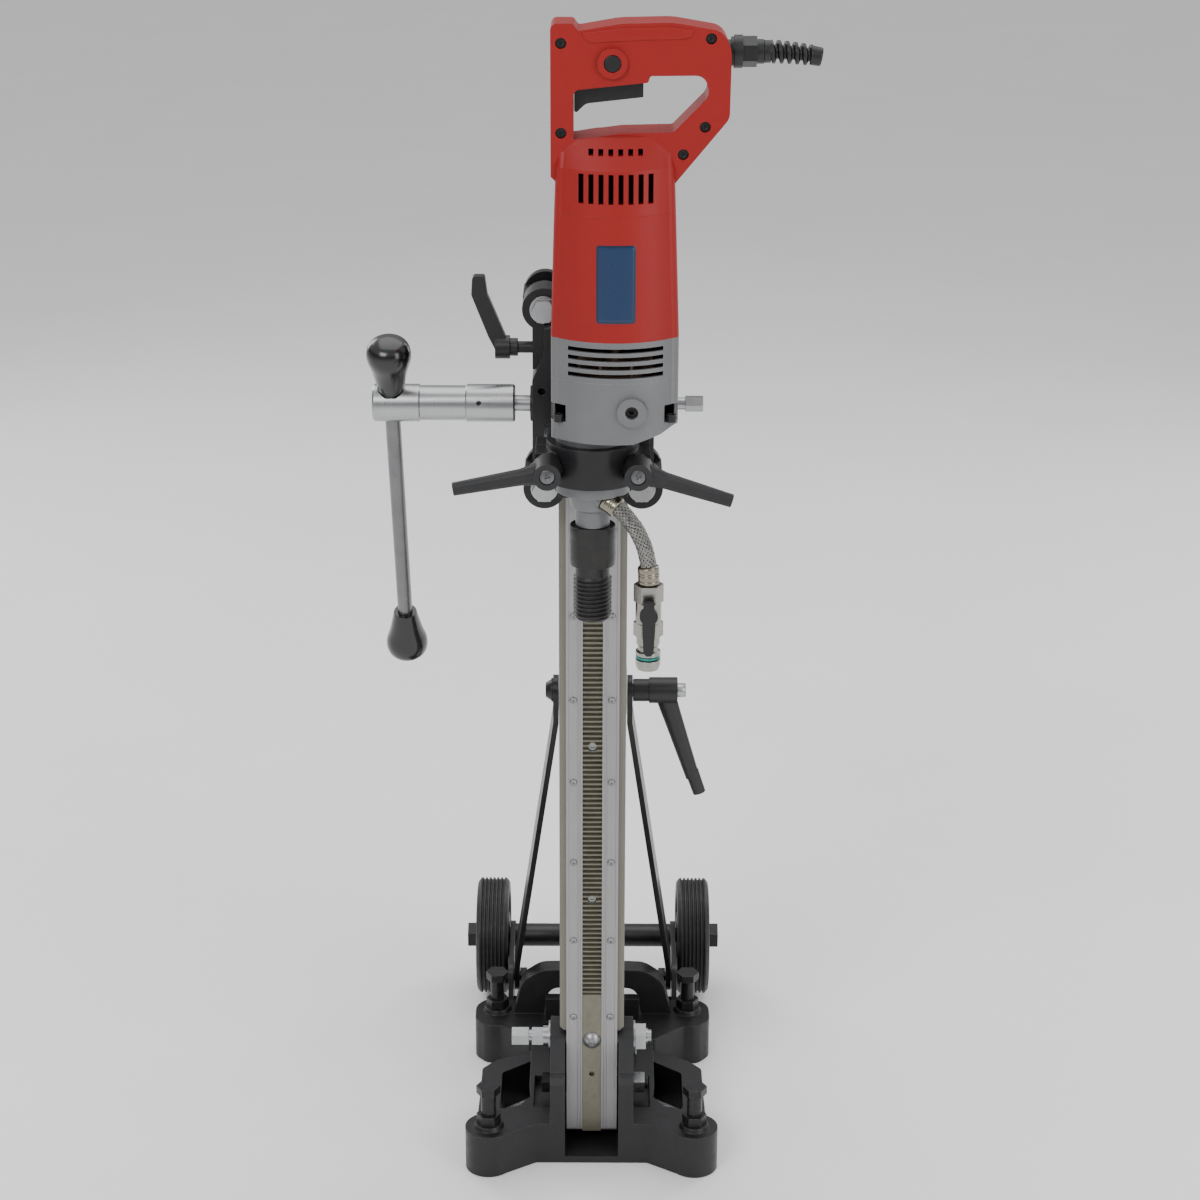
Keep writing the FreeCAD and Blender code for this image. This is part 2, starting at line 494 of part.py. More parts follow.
keep("tilt_lock_bolt", fuse("tilt_lock_bolt", [hexa("lock_head", "X", cl, 19, -47.5, -39.4), cyl("lock_shank", "X", cl, "lock_radius", -40, 53.5)]))
keep("tilt_nuts", group("tilt_nuts", [
    cut("tilt_washer", cyl("tilt_washer_disc", "X", cp, 15.2, 39.3, 41.0), [cyl("tilt_washer_bore", "X", cp, "pivot_radius", 30, 60)]),
    cut("tilt_nut_upper", hexa("tilt_nut_upper_hex", "X", cp, 24, 41.2, 51), [cyl("tilt_nut_upper_bore", "X", cp, "pivot_radius", 30, 60)]),
    cut("tilt_nut_lower", hexa("tilt_nut_lower_hex", "X", cl, 19, 39.4, 50.2), [cyl("tilt_nut_lower_bore", "X", cl, "lock_radius", 30, 60)])]))

# ------------------------------------------------------------------ carriage
ex_, er = P["ear_x"], P["ear_radius"]
parts = [
    pad("carriage_front", "XZ", [[(-51, 690), (-51, 764, 4), (-46, 776, 6), (-41, 790), (-41, 829, 3), (41, 829, 3), (41, 790), (46, 776, 6), (51, 764, 4), (51, 690),
                                   (42, 662), (-42, 662)]], -38, -1.6),
    box("carriage_side_r", 34, 51, -3, 42, 672, 772), box("carriage_side_l", -51, -34, -3, 42, 672, 772),
]
for i, (sx, zc) in enumerate((("-", "ear_top_z"), ("", "ear_top_z"), ("-", "ear_low_z"), ("", "ear_low_z"))):
    c = (sx + "ear_x", zc)
    parts.append(cyl("carriage_ear_front_%d" % i, "Y", c, "ear_radius", -22, 6))
    parts.append(cyl("carriage_ear_rear_%d" % i, "Y", c, "ear_radius", 40, 50))
    x0, x1 = (-59.4, -53.6) if sx else (53.6, 59.4)
    zmid = P["ear_top_z"] if i < 2 else P["ear_low_z"]
    parts.append(box("carriage_web_%d" % i, x0, x1, 0, 46, zmid - 6, zmid + 6))
    z0, z1 = (770, 812) if i < 2 else (672, 698)
    x0, x1 = (-51, -34) if sx else (34, 51)
    parts.append(box("carriage_ear_neck_front_%d" % i, x0, x1, -22, 6, z0, z1))
    parts.append(box("carriage_ear_neck_rear_%d" % i, x0, x1, 40, 50, z0, z1))
parts.append(box("carriage_bridge_r", 34, 51, 6, 50, 672, 684))
parts.append(box("carriage_bridge_l", -51, -34, 6, 50, 672, 684))
parts.append(box("carriage_bridge_tr", 34, 51, 6, 50, 770, 782))
parts.append(box("carriage_bridge_tl", -51, -34, 6, 50, 770, 782))
parts.append(box("collar_beam", -29, 29, -96, -36, "collar_low", "collar_top"))
parts.append(pad("collar_rib", "YZ", [[(-84, 708), (-37, 672), (-37, 720), (-84, 720)]], -9, 9))
parts.append(cyl("collar_rear", "Z", (0, "spin_y"), "collar_radius", "collar_low", "collar_top"))
parts.append(box("collar_lugs_rear", -46, 46, -119.3, -98, "stud_z-11.5", "stud_z+11.5"))
parts.append(cyl("feed_boss_r", "X", ("feed_y", "feed_z"), 15, 40, 53))
parts.append(cyl("feed_boss_l", "X", ("feed_y", "feed_z"), 15, -53, -40))
body = fuse("carriage_solid", parts)
tools = [box("carriage_column_way", -30.7, 30.7, -2.45, 90, 600, 900),
         box("collar_split", -60, 60, -200, -119.3, 700, 745),
         cyl("collar_bore", "Z", (0, "spin_y"), "neck_radius", 700, 745),
         cyl("feed_bore", "X", ("feed_y", "feed_z"), "shaft_radius+run_gap", -70, 70),
         cyl("pinion_room", "X", ("feed_y", "feed_z"), 21, -13, 13),
         box("pinion_window", -13, 13, -17.1, 5, 718, 760),
         cyl("lock_tap", "X", (12, 780), 5.05, -60, -30),
         cyl("face_hole", "Y", (-43, 755), 3.2, -40, -28)]
for i, sx in enumerate(("-", "")):
    tools.append(cyl("stud_way_%d" % i, "Y", (sx + "stud_x", "stud_z"), 5, -200, -30))
for i, (sx, zc) in enumerate((("-", "ear_top_z"), ("", "ear_top_z"), ("-", "ear_low_z"), ("", "ear_low_z"))):
    c = (sx + "ear_x", zc)
    tools.append(cyl("roller_bolt_way_%d" % i, "Y", c, 5, -30, 60))
    tools.append(cyl("roller_bolt_face_%d" % i, "Y", c, 12.4, -45, -22))
    tools.append(cyl("roller_room_%d" % i, "Y", c, 11.95, 6, 40))
keep("carriage_body", cut("carriage_body", body, tools))
bolts, k = [], 0
for sx, zc in (("-", "ear_top_z"), ("", "ear_top_z"), ("-", "ear_low_z"), ("", "ear_low_z")):
    c = (sx + "ear_x", zc)
    bolts.append(fuse("roller_bolt_%d" % k, [hexa("roller_bolt_head_%d" % k, "Y", c, 18, -31, -23.6), cyl("roller_bolt_washer_%d" % k, "Y", c, 11.6, -23.8, -22),
                                             cyl("roller_bolt_shank_%d" % k, "Y", c, 5, -24, 52)]))
    k += 1
keep("roller_bolts", group("roller_bolts", bolts))
for node, sx, zc in (("guide_roller_tl", "-", "ear_top_z"), ("guide_roller_tr", "", "ear_top_z"), ("guide_roller_ll", "-", "ear_low_z"), ("guide_roller_lr", "", "ear_low_z")):
    rr = P["roller_radius"]
    keep(node, turned(node, "Y", (sx + "ear_x", zc), [(5.05, 9), (7.5, 9), (7.5, 10), (rr, 10, 0.8), (rr, 36, 0.8), (7.5, 36), (7.5, 37), (5.05, 37)]))
# front jaw of the drill collar
jaw = fuse("jaw_solid", [cyl("jaw_ring", "Z", (0, "spin_y"), "collar_radius", "collar_low", "collar_top"), box("jaw_lugs", -46, 46, -144, -121, "stud_z-11.5", "stud_z+11.5")])
keep("clamp_front_jaw", cut("clamp_front_jaw", jaw, [box("jaw_split", -60, 60, -120.7, -60, 690, 760), cyl("jaw_bore", "Z", (0, "spin_y"), "neck_radius", 690, 760),
                                                      cyl("jaw_stud_way_r", "Y", ("stud_x", "stud_z"), 5, -200, -30), cyl("jaw_stud_way_l", "Y", ("-stud_x", "stud_z"), 5, -200, -30),
                                                      cyl("jaw_face_r", "Y", ("stud_x", "stud_z"), 12.9, -200, -144), cyl("jaw_face_l", "Y", ("-stud_x", "stud_z"), 12.9, -200, -144)]))
keep("clamp_studs", group("clamp_studs", [cyl("clamp_stud_r", "Y", ("stud_x", "stud_z"), 4.95, -166, -31), cyl("clamp_stud_l", "Y", ("-stud_x", "stud_z"), 4.95, -166, -31)]))


def clamp_lever(s):
    c = V(s * P["stud_x"], -144.4, P["stud_z"])
    hub = Part.makeCone(12.2, 10.8, 27, c, V(0, -1, 0))
    tipp = V(s * 111, -161, 700.5 if s > 0 else 709.5)
    rt = V(s * (P["stud_x"] + 4), -158, P["stud_z"] - 0.5)
    d = tipp - rt
    d.normalize()
    secs = []
    for pos, a, b in ((rt, 9.0, 8.0), (rt + (tipp - rt) * 0.25, 6.2, 6.0), (tipp, 5.0, 4.4)):
        pr = [(-a, -b * 0.45), (-a * 0.55, -b), (a * 0.55, -b), (a, -b * 0.45), (a, b * 0.45), (a * 0.55, b), (-a * 0.55, b), (-a, b * 0.45)]
        w = Part.makePolygon([V(x, y, 0) for x, y in pr] + [V(pr[0][0], pr[0][1], 0)])
        yd = V(0, 1, 0)
        xd = yd.cross(d)
        xd.normalize()
        mm = FreeCAD.Matrix(xd.x, yd.x, d.x, pos.x, xd.y, yd.y, d.y, pos.y, xd.z, yd.z, d.z, pos.z, 0, 0, 0, 1)
        w.transformShape(mm)
        secs.append(w)
    armp = Part.makeLoft(secs, True, True)
    out = hub.fuse(armp).cut(Part.makeCylinder(5, 22, c, V(0, -1, 0)))
    return out.cut(Part.makeCylinder(6.4, 1.5, V(c.x, -171.4, c.z), V(0, 1, 0)))


keep("clamp_lever_right", feature("clamp_lever_right", clamp_lever(1)))
keep("clamp_lever_left", feature("clamp_lever_left", clamp_lever(-1)))

# carriage lock lever on the left
y0, z0 = 12, 780
lk = Part.makeCylinder(5, 34, V(-64.5, y0, z0), V(1, 0, 0)).fuse(Part.makeCylinder(7.6, 7, V(-71.2, y0, z0), V(1, 0, 0)))
lk = lk.fuse(Part.makeCylinder(10, 12.5, V(-83.4, y0, z0), V(1, 0, 0)))
arm_side = [(-83.4, 774), (-73, 774, 3), (-73, 786, 3), (-89.5, 826, 8), (-91.5, 842, 2), (-102, 842, 3), (-103, 826, 6), (-89, 790, 8), (-83.4, 779)]
arm_bar = face(arm_side).extrude(V(0, 0, 10))
arm_bar.rotate(V(0, 0, 0), V(1, 0, 0), 90)
arm_bar.translate(V(0, y0 + 5, 0))
lk = lk.fuse(arm_bar)
keep("carriage_lock_lever", feature("carriage_lock_lever", lk))

# ------------------------------------------------------------------ feed shaft, crank hub, bar, knobs
fy, fz = P["feed_y"], P["feed_z"]
nt = int(P["feed_teeth"])
pin = gear(nt, mod, mod, 1.25 * mod, 0.12, -8.4, 8.4)
# local X is the gear's tooth direction and must point to the rack, so a tooth meets the rack's gap
pin.rotate(V(0, 0, 0), V(0, 1, 0), 90)
pin.rotate(V(0, 0, 0), V(1, 0, 0), -90)
shaft = Part.makeCylinder(P["shaft_radius"], 148, V(-70, 0, 0), V(1, 0, 0)).fuse(pin)
shaft = shaft.fuse(Part.makeCylinder(5.2, 6, V(74, 0, 0), V(1, 0, 0)))
hexend = Part.Face(Part.makePolygon([V(0, 6.9 * math.cos(math.radians(60 * i)), 6.9 * math.sin(math.radians(60 * i))) for i in range(7)])).extrude(V(15, 0, 0))
hexend.translate(V(77.5, 0, 0))
shaft = shaft.cut(Part.makeCylinder(12, 12, V(70.5, 0, 0), V(1, 0, 0)).cut(Part.makeCylinder(5.2, 12, V(70.5, 0, 0), V(1, 0, 0)))).fuse(hexend)
fs = feature("feed_shaft", shaft)
fs.Placement = Placement(V(0, fy, fz), Rotation())
keep("feed_shaft", fs)
lean = math.radians(P["bar_lean"])
bd = V(0, math.sin(lean), -math.cos(lean))
ho, hi_ = -P["hub_out"], -P["hub_in"]
hubp = [(0, ho), (14.5, ho), (P["hub_radius"], ho + 1.5), (P["hub_radius"], -146.5), (14.8, -145.6), (14.8, -107.3), (P["hub_radius"], -106.4), (P["hub_radius"], hi_ - 1.2), (14.8, hi_), (0, hi_)]
hub = turned("crank_hub_turned", "X", ("feed_y", "feed_z"), hubp)
bar_way = doc.addObject("Part::Cylinder", "crank_bar_way")
bar_way.Height = 80
bind(bar_way, "Radius", "bar_radius+run_gap")
bar_way.Placement = Placement(V(P["bar_x"], fy, fz) - bd * 40, Rotation(V(0, 0, 1), bd))
seat = doc.addObject("Part::Cylinder", "crank_knob_seat")
seat.Height = 40
seat.Radius = 11.3
seat.Placement = Placement(V(P["bar_x"], fy, fz) - bd * 52, Rotation(V(0, 0, 1), bd))
keep("crank_hub", cut("crank_hub", hub, [bar_way, seat, cyl("crank_shaft_way", "X", ("feed_y", "feed_z"), "shaft_radius", -70, -60), cyl("crank_set_screw", "Y", (-96, "feed_z+4"), 2, -40, -20)]))
up0 = 12.5
dn0 = P["bar_reach"]
cb_ = V(P["bar_x"], fy, fz)
rodc = Part.makeCylinder(P["bar_radius"], dn0 + up0 + 40, cb_ - bd * (up0 + 20), bd)
keep("crank_rod", feature("crank_rod", rodc))


def knob(start, d):
    kr, kl = P["knob_radius"], P["knob_long"]
    prof = [(P["bar_radius"], 0), (10.6, 0), (11.0, 3), (15, kl * 0.42), (kr - 0.4, kl * 0.62), (kr, kl * 0.74), (kr - 1.2, kl * 0.86), (kr - 5, kl * 0.95), (kr - 11, kl * 0.995), (0, kl), (0, 21), (P["bar_radius"], 20.4)]
    w = Part.makePolygon([V(r, 0, z) for r, z in prof] + [V(prof[0][0], 0, prof[0][1])])
    s = Part.Face(w).revolve(V(0, 0, 0), V(0, 0, 1), 360)
    s.Placement = Placement(start, Rotation(V(0, 0, 1), d))
    return s


knobs = [knob(cb_ - bd * up0, -bd), knob(cb_ + bd * dn0, bd)]
keep("crank_knobs", feature("crank_knobs", Part.makeCompound(knobs)))

# ------------------------------------------------------------------ drill motor
sy, mx = P["spin_y"], P["motor_x"]


def case_wire(z, grow=0.0, left=None, right=None, side=None, crown=None):
    # flat sides, crowned front and back, rounded corners
    l = (mx - P["case_half"] if left is None else left) + grow
    r = (mx + P["case_half"] if right is None else right) - grow
    sd = P["case_side"] if side is None else side
    cr = (P["case_crown"] if crown is None else crown)
    h = sd + cr - grow
    sd = sd - grow * 0.4
    c = (l + r) / 2
    p = lambda x, y: V(x, sy + y, z)
    a = 5.0
    ew = (r - l) / 2
    # crown arcs through the side corners, corner cut replaced by a short arc
    def ypos(x):
        R = (ew * ew + (h - sd) ** 2) / (2 * (h - sd))
        return h - R + math.sqrt(R * R - (x - c) ** 2)
    xa = l + a
    xb = r - a
    ya = ypos(xa)
    edges = [Part.Arc(p(xa, -ya), p(c, -h), p(xb, -ya)), Part.Arc(p(xb, -ya), p(r - a * 0.18, -sd - (ya - sd) * 0.45), p(r, -sd + 5)),
             Part.LineSegment(p(r, -sd + 5), p(r, sd - 5)), Part.Arc(p(r, sd - 5), p(r - a * 0.18, sd + (ya - sd) * 0.45), p(xb, ya)),
             Part.Arc(p(xb, ya), p(c, h), p(xa, ya)), Part.Arc(p(xa, ya), p(l + a * 0.18, sd + (ya - sd) * 0.45), p(l, sd - 5)),
             Part.LineSegment(p(l, sd - 5), p(l, -sd + 5)), Part.Arc(p(l, -sd + 5), p(l + a * 0.18, -sd - (ya - sd) * 0.45), p(xa, -ya))]
    return Part.Wire([e.toShape() for e in edges])


def case_slab(z0, z1, grow=0.0):
    return Part.Face(case_wire(z0, grow)).extrude(V(0, 0, z1 - z0))


wt = P["wall_thick"]
gc = case_slab(P["case_low"], P["case_top"])
gc = gc.fuse(Part.makeCylinder(P["neck_radius"], P["case_low"] - 697 + 1, V(0, sy, 697)))
slope = Part.Face(Part.makePolygon([V(31, 0, 735), V(31, 0, 747.3), V(53.6, 0, 753.5), V(70, 0, 762), V(75, 0, 735), V(31, 0, 735)])).extrude(V(0, 120, 0))
slope.translate(V(0, -180, 0))
gc = gc.cut(slope)
gc = gc.fuse(Part.makeCone(13.5, 11.5, 16, V(30.5, -152, 774.5), V(0, -1, 0)))
cav = case_slab(P["case_low"] + 2.4, P["case_top"] + 1, wt)
cav_slope = Part.Face(Part.makePolygon([V(28, 0, 730), V(28, 0, 752.5), V(53.6, 0, 759), V(72, 0, 768.5), V(80, 0, 730), V(28, 0, 730)])).extrude(V(0, 120, 0))
cav_slope.translate(V(0, -180, 0))
gc = gc.cut(cav.cut(cav_slope))
gc = gc.cut(Part.makeCylinder(16, 60, V(0, sy, 690)))
for x0, x1 in ((-33, -21.5), (56.5, 68)):
    pocket = Part.makeBox(x1 - x0, 18, 14, V(x0, -158, 762.5))
    shelf = Part.makeBox(x1 - x0 + 4, 21, 20, V(x0 - 2 if x0 < 0 else x0 - 2, -161, 759.5))
    gc = gc.fuse(shelf.common(case_slab(P["case_low"], P["case_top"]))).cut(pocket)
gc = gc.cut(Part.makeCylinder(5.2, 40, V(30.5, -170, 774.5), V(0, 1, 0)))
hose_from = V(8.0, -134.0, 694.0)
hose_way = V(11.6, -5.4, -6.2)
hose_way.normalize()
gc = gc.cut(Part.makeCylinder(10.0, 60, hose_from - hose_way * 13, hose_way))
keep("gear_housing", feature("gear_housing", gc.removeSplitter()))
pl = Part.makeCylinder(5.2, 9, V(30.5, -163, 774.5), V(0, 1, 0)).cut(Part.makeCylinder(2.6, 4, V(30.5, -163, 774.5), V(0, 1, 0)))
keep("gearbox_plug", feature("gearbox_plug", pl))
vr = case_slab(P["case_top"], P["vent_top"]).cut(case_slab(P["case_top"] - 1, P["vent_top"] + 1, wt))
for z in (801.3, 808.1, 814.9, 821.7):
    vr = vr.cut(Part.makeBox(74.5, 40, 3.5, V(-19.5, -172, z)))
keep("vent_ring", feature("vent_ring", vr))
l0, r0, l1, r1 = -32.7, 67.0, -29.9, 63.4
mh = Part.makeLoft([case_wire(P["vent_top"], 0, l0, r0), case_wire(P["motor_top"], 0, l1, r1, 21, 21)], True, True)
mh = mh.cut(Part.makeLoft([case_wire(P["vent_top"], wt, l0, r0), case_wire(P["motor_top"], wt, l1, r1, 21, 21)], True, True))
keep("motor_housing", feature("motor_housing", mh))

# two handle shells split on the spindle's plane: motor cap below, D handle above
cap = Part.makeLoft([case_wire(P["motor_top"], 0, l1, r1, 21, 21), case_wire(963, 0, -28.6, 62.0, 20, 19)], True, True)
cap = cap.fuse(Part.makeLoft([case_wire(963, 0, -28.6, 62.0, 20, 19), case_wire(986, 2, -28.6, 62.0, 12, 12)], True, True))
hh = P["handle_half"]
d_out = [(-33, 955), (-33, 1071, 5), (-15.5, 1071, 4), (-12, 1065.5, 3), (20, 1071, 60), (60, 1072, 60), (98, 1065.5, 14), (104.5, 1052, 20), (104, 1000, 12), (59.5, 946), (40, 942), (-20, 942)]
d_in = [(-15.5, 983.5), (-15.5, 1021, 5), (8, 1023.5), (41.5, 1027, 2), (43, 1032, 2), (84, 1032.5, 9), (89, 1018, 10), (61, 989.5, 4), (22, 988.5)]


def slab(points, half, grow=0.0):
    f = face(points).extrude(V(0, 0, 2 * half))
    f.translate(V(0, 0, -half))
    f.rotate(V(0, 0, 0), V(1, 0, 0), 90)
    f.translate(V(0, sy, 0))
    return f


handle = slab(d_out, hh)
post_cut = slab([(-40, 925), (-40, 945), (-33.5, 945), (-33.5, 925)], 60)
handle = handle.fuse(cap)
hollow = Part.makeLoft([case_wire(P["motor_top"] - 1, wt, l1, r1, 21, 21), case_wire(967, wt + 1.5, -28.6, 62.0, 19, 17)], True, True)
handle = handle.cut(slab(d_in, 80)).cut(hollow)
grip_room = slab([(-9, 1040), (-9, 1058, 3), (44, 1062, 3), (44, 1040)], 12.5)
handle = handle.cut(grip_room)
trig_room = slab([(-15.4, 1014), (-15.4, 1044), (39, 1044), (39, 1014)], 9.6)
handle = handle.cut(trig_room)
for i in range(8):
    x = -9.5 + i * (53.5 / 7.0) - 1.9
    handle = handle.cut(Part.makeBox(3.8, 60, 22.6, V(x, -175, 937.8)))
for i in range(6):
    x = -2 + i * 38 / 5.0
    handle = handle.cut(Part.makeBox(3.6, 40, 4.8, V(x - 1.8, -160, 973.2)))
handle = handle.cut(Part.makeCylinder(6.7, 30, V(14.2, -142, 1041.5), V(0, 1, 0)))
ringb = Part.makeCylinder(11.5, 3.2, V(14.2, sy - hh - 3, 1041.5), V(0, 1, 0)).cut(Part.makeCylinder(6.7, 6, V(14.2, sy - hh - 4, 1041.5), V(0, 1, 0)))
handle = handle.fuse(ringb)
handle = handle.cut(Part.makeCylinder(9.0, 30, V(92.5, sy, 1048), V(1, 0, 0)))
HS = [(-25, 1056.2), (-25, 988.4), (88.8, 1060), (85.3, 993.4), (68.8, 972.3)]
for x, z in HS:
    handle = handle.cut(Part.makeCylinder(4.2, 8, V(x, sy - hh - 1, z), V(0, 1, 0))).cut(Part.makeCylinder(2, 30, V(x, sy - hh, z), V(0, 1, 0)))
for x in (-24.5, 58.5):
    handle = handle.cut(Part.makeBox(9, 14, 8, V(x - 4.5, -163, 951.5)))
front = handle.common(Part.makeBox(400, 200, 400, V(-200, sy - 200, 800)))
rear = handle.common(Part.makeBox(400, 200, 400, V(-200, sy, 800)))
keep("handle_front", feature("handle_front", front))
keep("handle_rear", feature("handle_rear", rear))
bs = []
for x, z in HS:
    h_ = Part.makeCylinder(3.9, 4, V(x, sy - hh + 3, z), V(0, 1, 0)).cut(Part.makeCylinder(1.8, 1.6, V(x, sy - hh + 3, z), V(0, 1, 0)))
    bs.append(h_.fuse(Part.makeCylinder(2, 20, V(x, sy - hh + 6.5, z), V(0, 1, 0))))
for x, y, z in ((-27.2, -149, 762.5), (62.2, -149, 762.5)):
    bs.append(Part.makeCylinder(3.9, 6, V(x, y, z)).cut(Part.makeCylinder(1.9, 3, V(x, y, z + 3.4))))
keep("body_screws", feature("body_screws", Part.makeCompound(bs)))

# switch gear
tg = [(-14.9, 1001, 1.5), (-6, 1009.5, 8), (38, 1014.5, 1), (38, 1034), (-14.9, 1034)]
keep("trigger", feature("trigger", slab(tg, 9.2)))
lb = Part.makeCylinder(6.6, 9, V(14.2, sy - hh - 2.6, 1041.5), V(0, 1, 0))
keep("lock_button", feature("lock_button", lb.makeFillet(1.0, [e for e in lb.Edges if abs(e.CenterOfMass.y - (sy - hh - 2.6)) < 0.01])))

# cable gland and bend protector
gl = Part.makeCylinder(9.0, 12, V(93, sy, 1048), V(1, 0, 0)).fuse(Part.makeCylinder(11.2, 2.4, V(104.8, sy, 1048), V(1, 0, 0))).fuse(Part.makeCylinder(12.6, 6.4, V(107, sy, 1048), V(1, 0, 0)))
hx = Part.Face(Part.makePolygon([V(0, 11.8 * math.cos(math.radians(60 * i + 30)), 11.8 * math.sin(math.radians(60 * i + 30))) for i in range(7)])).extrude(V(11.2, 0, 0))
hx.translate(V(113.2, sy, 1048))
gl = gl.fuse(hx).fuse(Part.makeCylinder(9.3, 5.4, V(124.2, sy, 1048), V(1, 0, 0)))
keep("cable_gland", feature("cable_gland", gl))
sp = Part.makeCone(9.4, 7.9, 45.0, V(130.2, sy, 1047.9), V(1, 0, -0.06))
keep("bend_protector", feature("bend_protector", sp))

# motor inside
keep("motor_stator", cut("motor_stator", cyl("stator_outer", "Z", ("motor_x", "spin_y"), 36, 838, 898), [cyl("stator_bore", "Z", ("motor_x", "spin_y"), 22.5, 830, 905)]))
arm_ = Part.makeCylinder(4, 152, V(0, 0, 772)).fuse(Part.makeCylinder(21.5, 58, V(0, 0, 839))).fuse(Part.makeCylinder(12, 14, V(0, 0, 902)))
arm_ = arm_.fuse(Part.makeCylinder(33, 3, V(0, 0, 797))).fuse(Part.makeCylinder(12, 14, V(0, 0, 797)))
for i in range(8):
    bl = Part.makeBox(20, 2.2, 12, V(12.5, -1.1, 799))
    bl.rotate(V(0, 0, 0), V(0, 0, 1), 45 * i)
    arm_ = arm_.fuse(bl)
arm_ = arm_.fuse(gear(12, 1.0, 0.8, 1.1, 0.1, 772, 787))
af = feature("armature", arm_)
af.Placement = Placement(V(mx, sy, 0), Rotation())
keep("armature", af)
lx = mx / 2
ly = math.sqrt(23.0 ** 2 - lx ** 2)
ang_m = math.degrees(math.atan2(-ly, mx - lx))
ang_s = math.degrees(math.atan2(-ly, -lx))
lay = Part.makeCylinder(4, 38, V(0, 0, 750)).fuse(gear(34, 1.0, 0.8, 1.1, 0.1, 773, 785, 0.0)).fuse(gear(12, 1.0, 0.8, 1.1, 0.1, 752, 766, 0.0))
lf = feature("layshaft", lay)
lf.Placement = Placement(V(lx, sy + ly, 0), Rotation())
keep("layshaft", lf)


def mesh_turn(teeth, mate, mate_turn, ang):
    # turn of a gear whose mate, turned mate_turn, lies so that ang is the direction from the mate's axis to this gear's axis
    # mate has a tooth phase at ang; this gear needs a gap facing back along ang + 180
    phase = ((ang - mate_turn) / (360.0 / mate)) % 1.0
    own = (0.5 - phase) * (360.0 / teeth)
    return ang + 180.0 - own


am = mesh_turn(12, 34, 0.0, ang_m)
af.Placement = Placement(V(mx, sy, 0), Rotation(V(0, 0, 1), am))
s_turn = mesh_turn(34, 12, 0.0, ang_s)
sp_ = Part.makeCylinder(10, 54, V(0, 0, 698)).fuse(gear(34, 1.0, 0.8, 1.1, 0.1, 752, 766, s_turn)).fuse(Part.makeCylinder(5, 20, V(0, 0, 750)))
sp_ = sp_.fuse(Part.makeCylinder(9.5, 34, V(0, 0, 665))).fuse(Part.makeCylinder(12.0, 12.6, V(0, 0, 654)))
sf = feature("spindle", sp_)
sf.Placement = Placement(V(0, sy, 0), Rotation())
keep("spindle", sf)
ad = fuse("adapter_solid", [cyl("adapter_barrel", "Z", (0, "spin_y"), "adapter_radius", "adapter_low+2", "adapter_top"), cone("adapter_bevel", "Z", (0, "spin_y"), 17, "adapter_radius", "adapter_low", "adapter_low+2"),
                            cyl("adapter_neck", "Z", (0, "spin_y"), 14.3, 620, "adapter_low+1"), cyl("adapter_thread", "Z", (0, "spin_y"), "thread_radius", "thread_low+2", 624.6),
                            cone("adapter_thread_tip", "Z", (0, "spin_y"), 13.6, "thread_radius", "thread_low", "thread_low+2")])
keep("core_adapter", cut("core_adapter", ad, [cyl("adapter_bore", "Z", (0, "spin_y"), 6, 570, 700), cyl("adapter_socket", "Z", (0, "spin_y"), 12.1, 653.9, 680),
                                              box("adapter_flat_front", -25, 25, -145, -134.4, "adapter_low-1", "adapter_top+1"), box("adapter_flat_rear", -25, 25, -105.6, -95, "adapter_low-1", "adapter_top+1")]))

# ------------------------------------------------------------------ water swivel, hose, valve
HOSE = [V(8.0, -134.0, 694.0), V(19.6, -139.4, 687.8), V(29.6, -144.1, 678.8), V(37.5, -147.8, 667.6), V(42.9, -150.3, 654.8), V(45.6, -151.5, 640.9), V(45.6, -151.5, 626.7)]


def route(points):
    edges = []
    last = points[0]
    for i in range(1, len(points) - 1):
        a, b, c = points[i - 1], points[i], points[i + 1]
        va, vc = (a - b), (c - b)
        short = min(va.Length, vc.Length)
        turn = math.pi - va.getAngle(vc)
        rad = 0.45 * short / math.tan(turn / 2)
        t1, mid, t2 = corner(a, b, c, rad)
        print("hose radius at point %d: %.1f mm, turn %.1f degrees" % (i, rad, math.degrees(turn)))
        if (t1 - last).Length > 1e-4:
            edges.append(Part.LineSegment(last, t1).toShape())
        edges.append(Part.Arc(t1, mid, t2).toShape())
        last = t2
    edges.append(Part.LineSegment(last, points[-1]).toShape())
    return Part.Wire(edges)


w = route(HOSE)
d0 = HOSE[1] - HOSE[0]
d0.normalize()
sec = Part.Wire(Part.Edge(Part.Circle(HOSE[0], d0, P["hose_radius"])))
tube = w.makePipeShell([sec], True, False)
print("hose length %.1f mm, volume %.0f, section x length %.0f" % (w.Length, tube.Volume, math.pi * P["hose_radius"] ** 2 * w.Length))
keep("hose", feature("hose", tube))
fr = P["ferrule_radius"]


def sleeve(a, d, n):
    return Part.makeCylinder(fr, n, a, d).cut(Part.makeCylinder(P["hose_radius"] + 0.35, n, a, d))


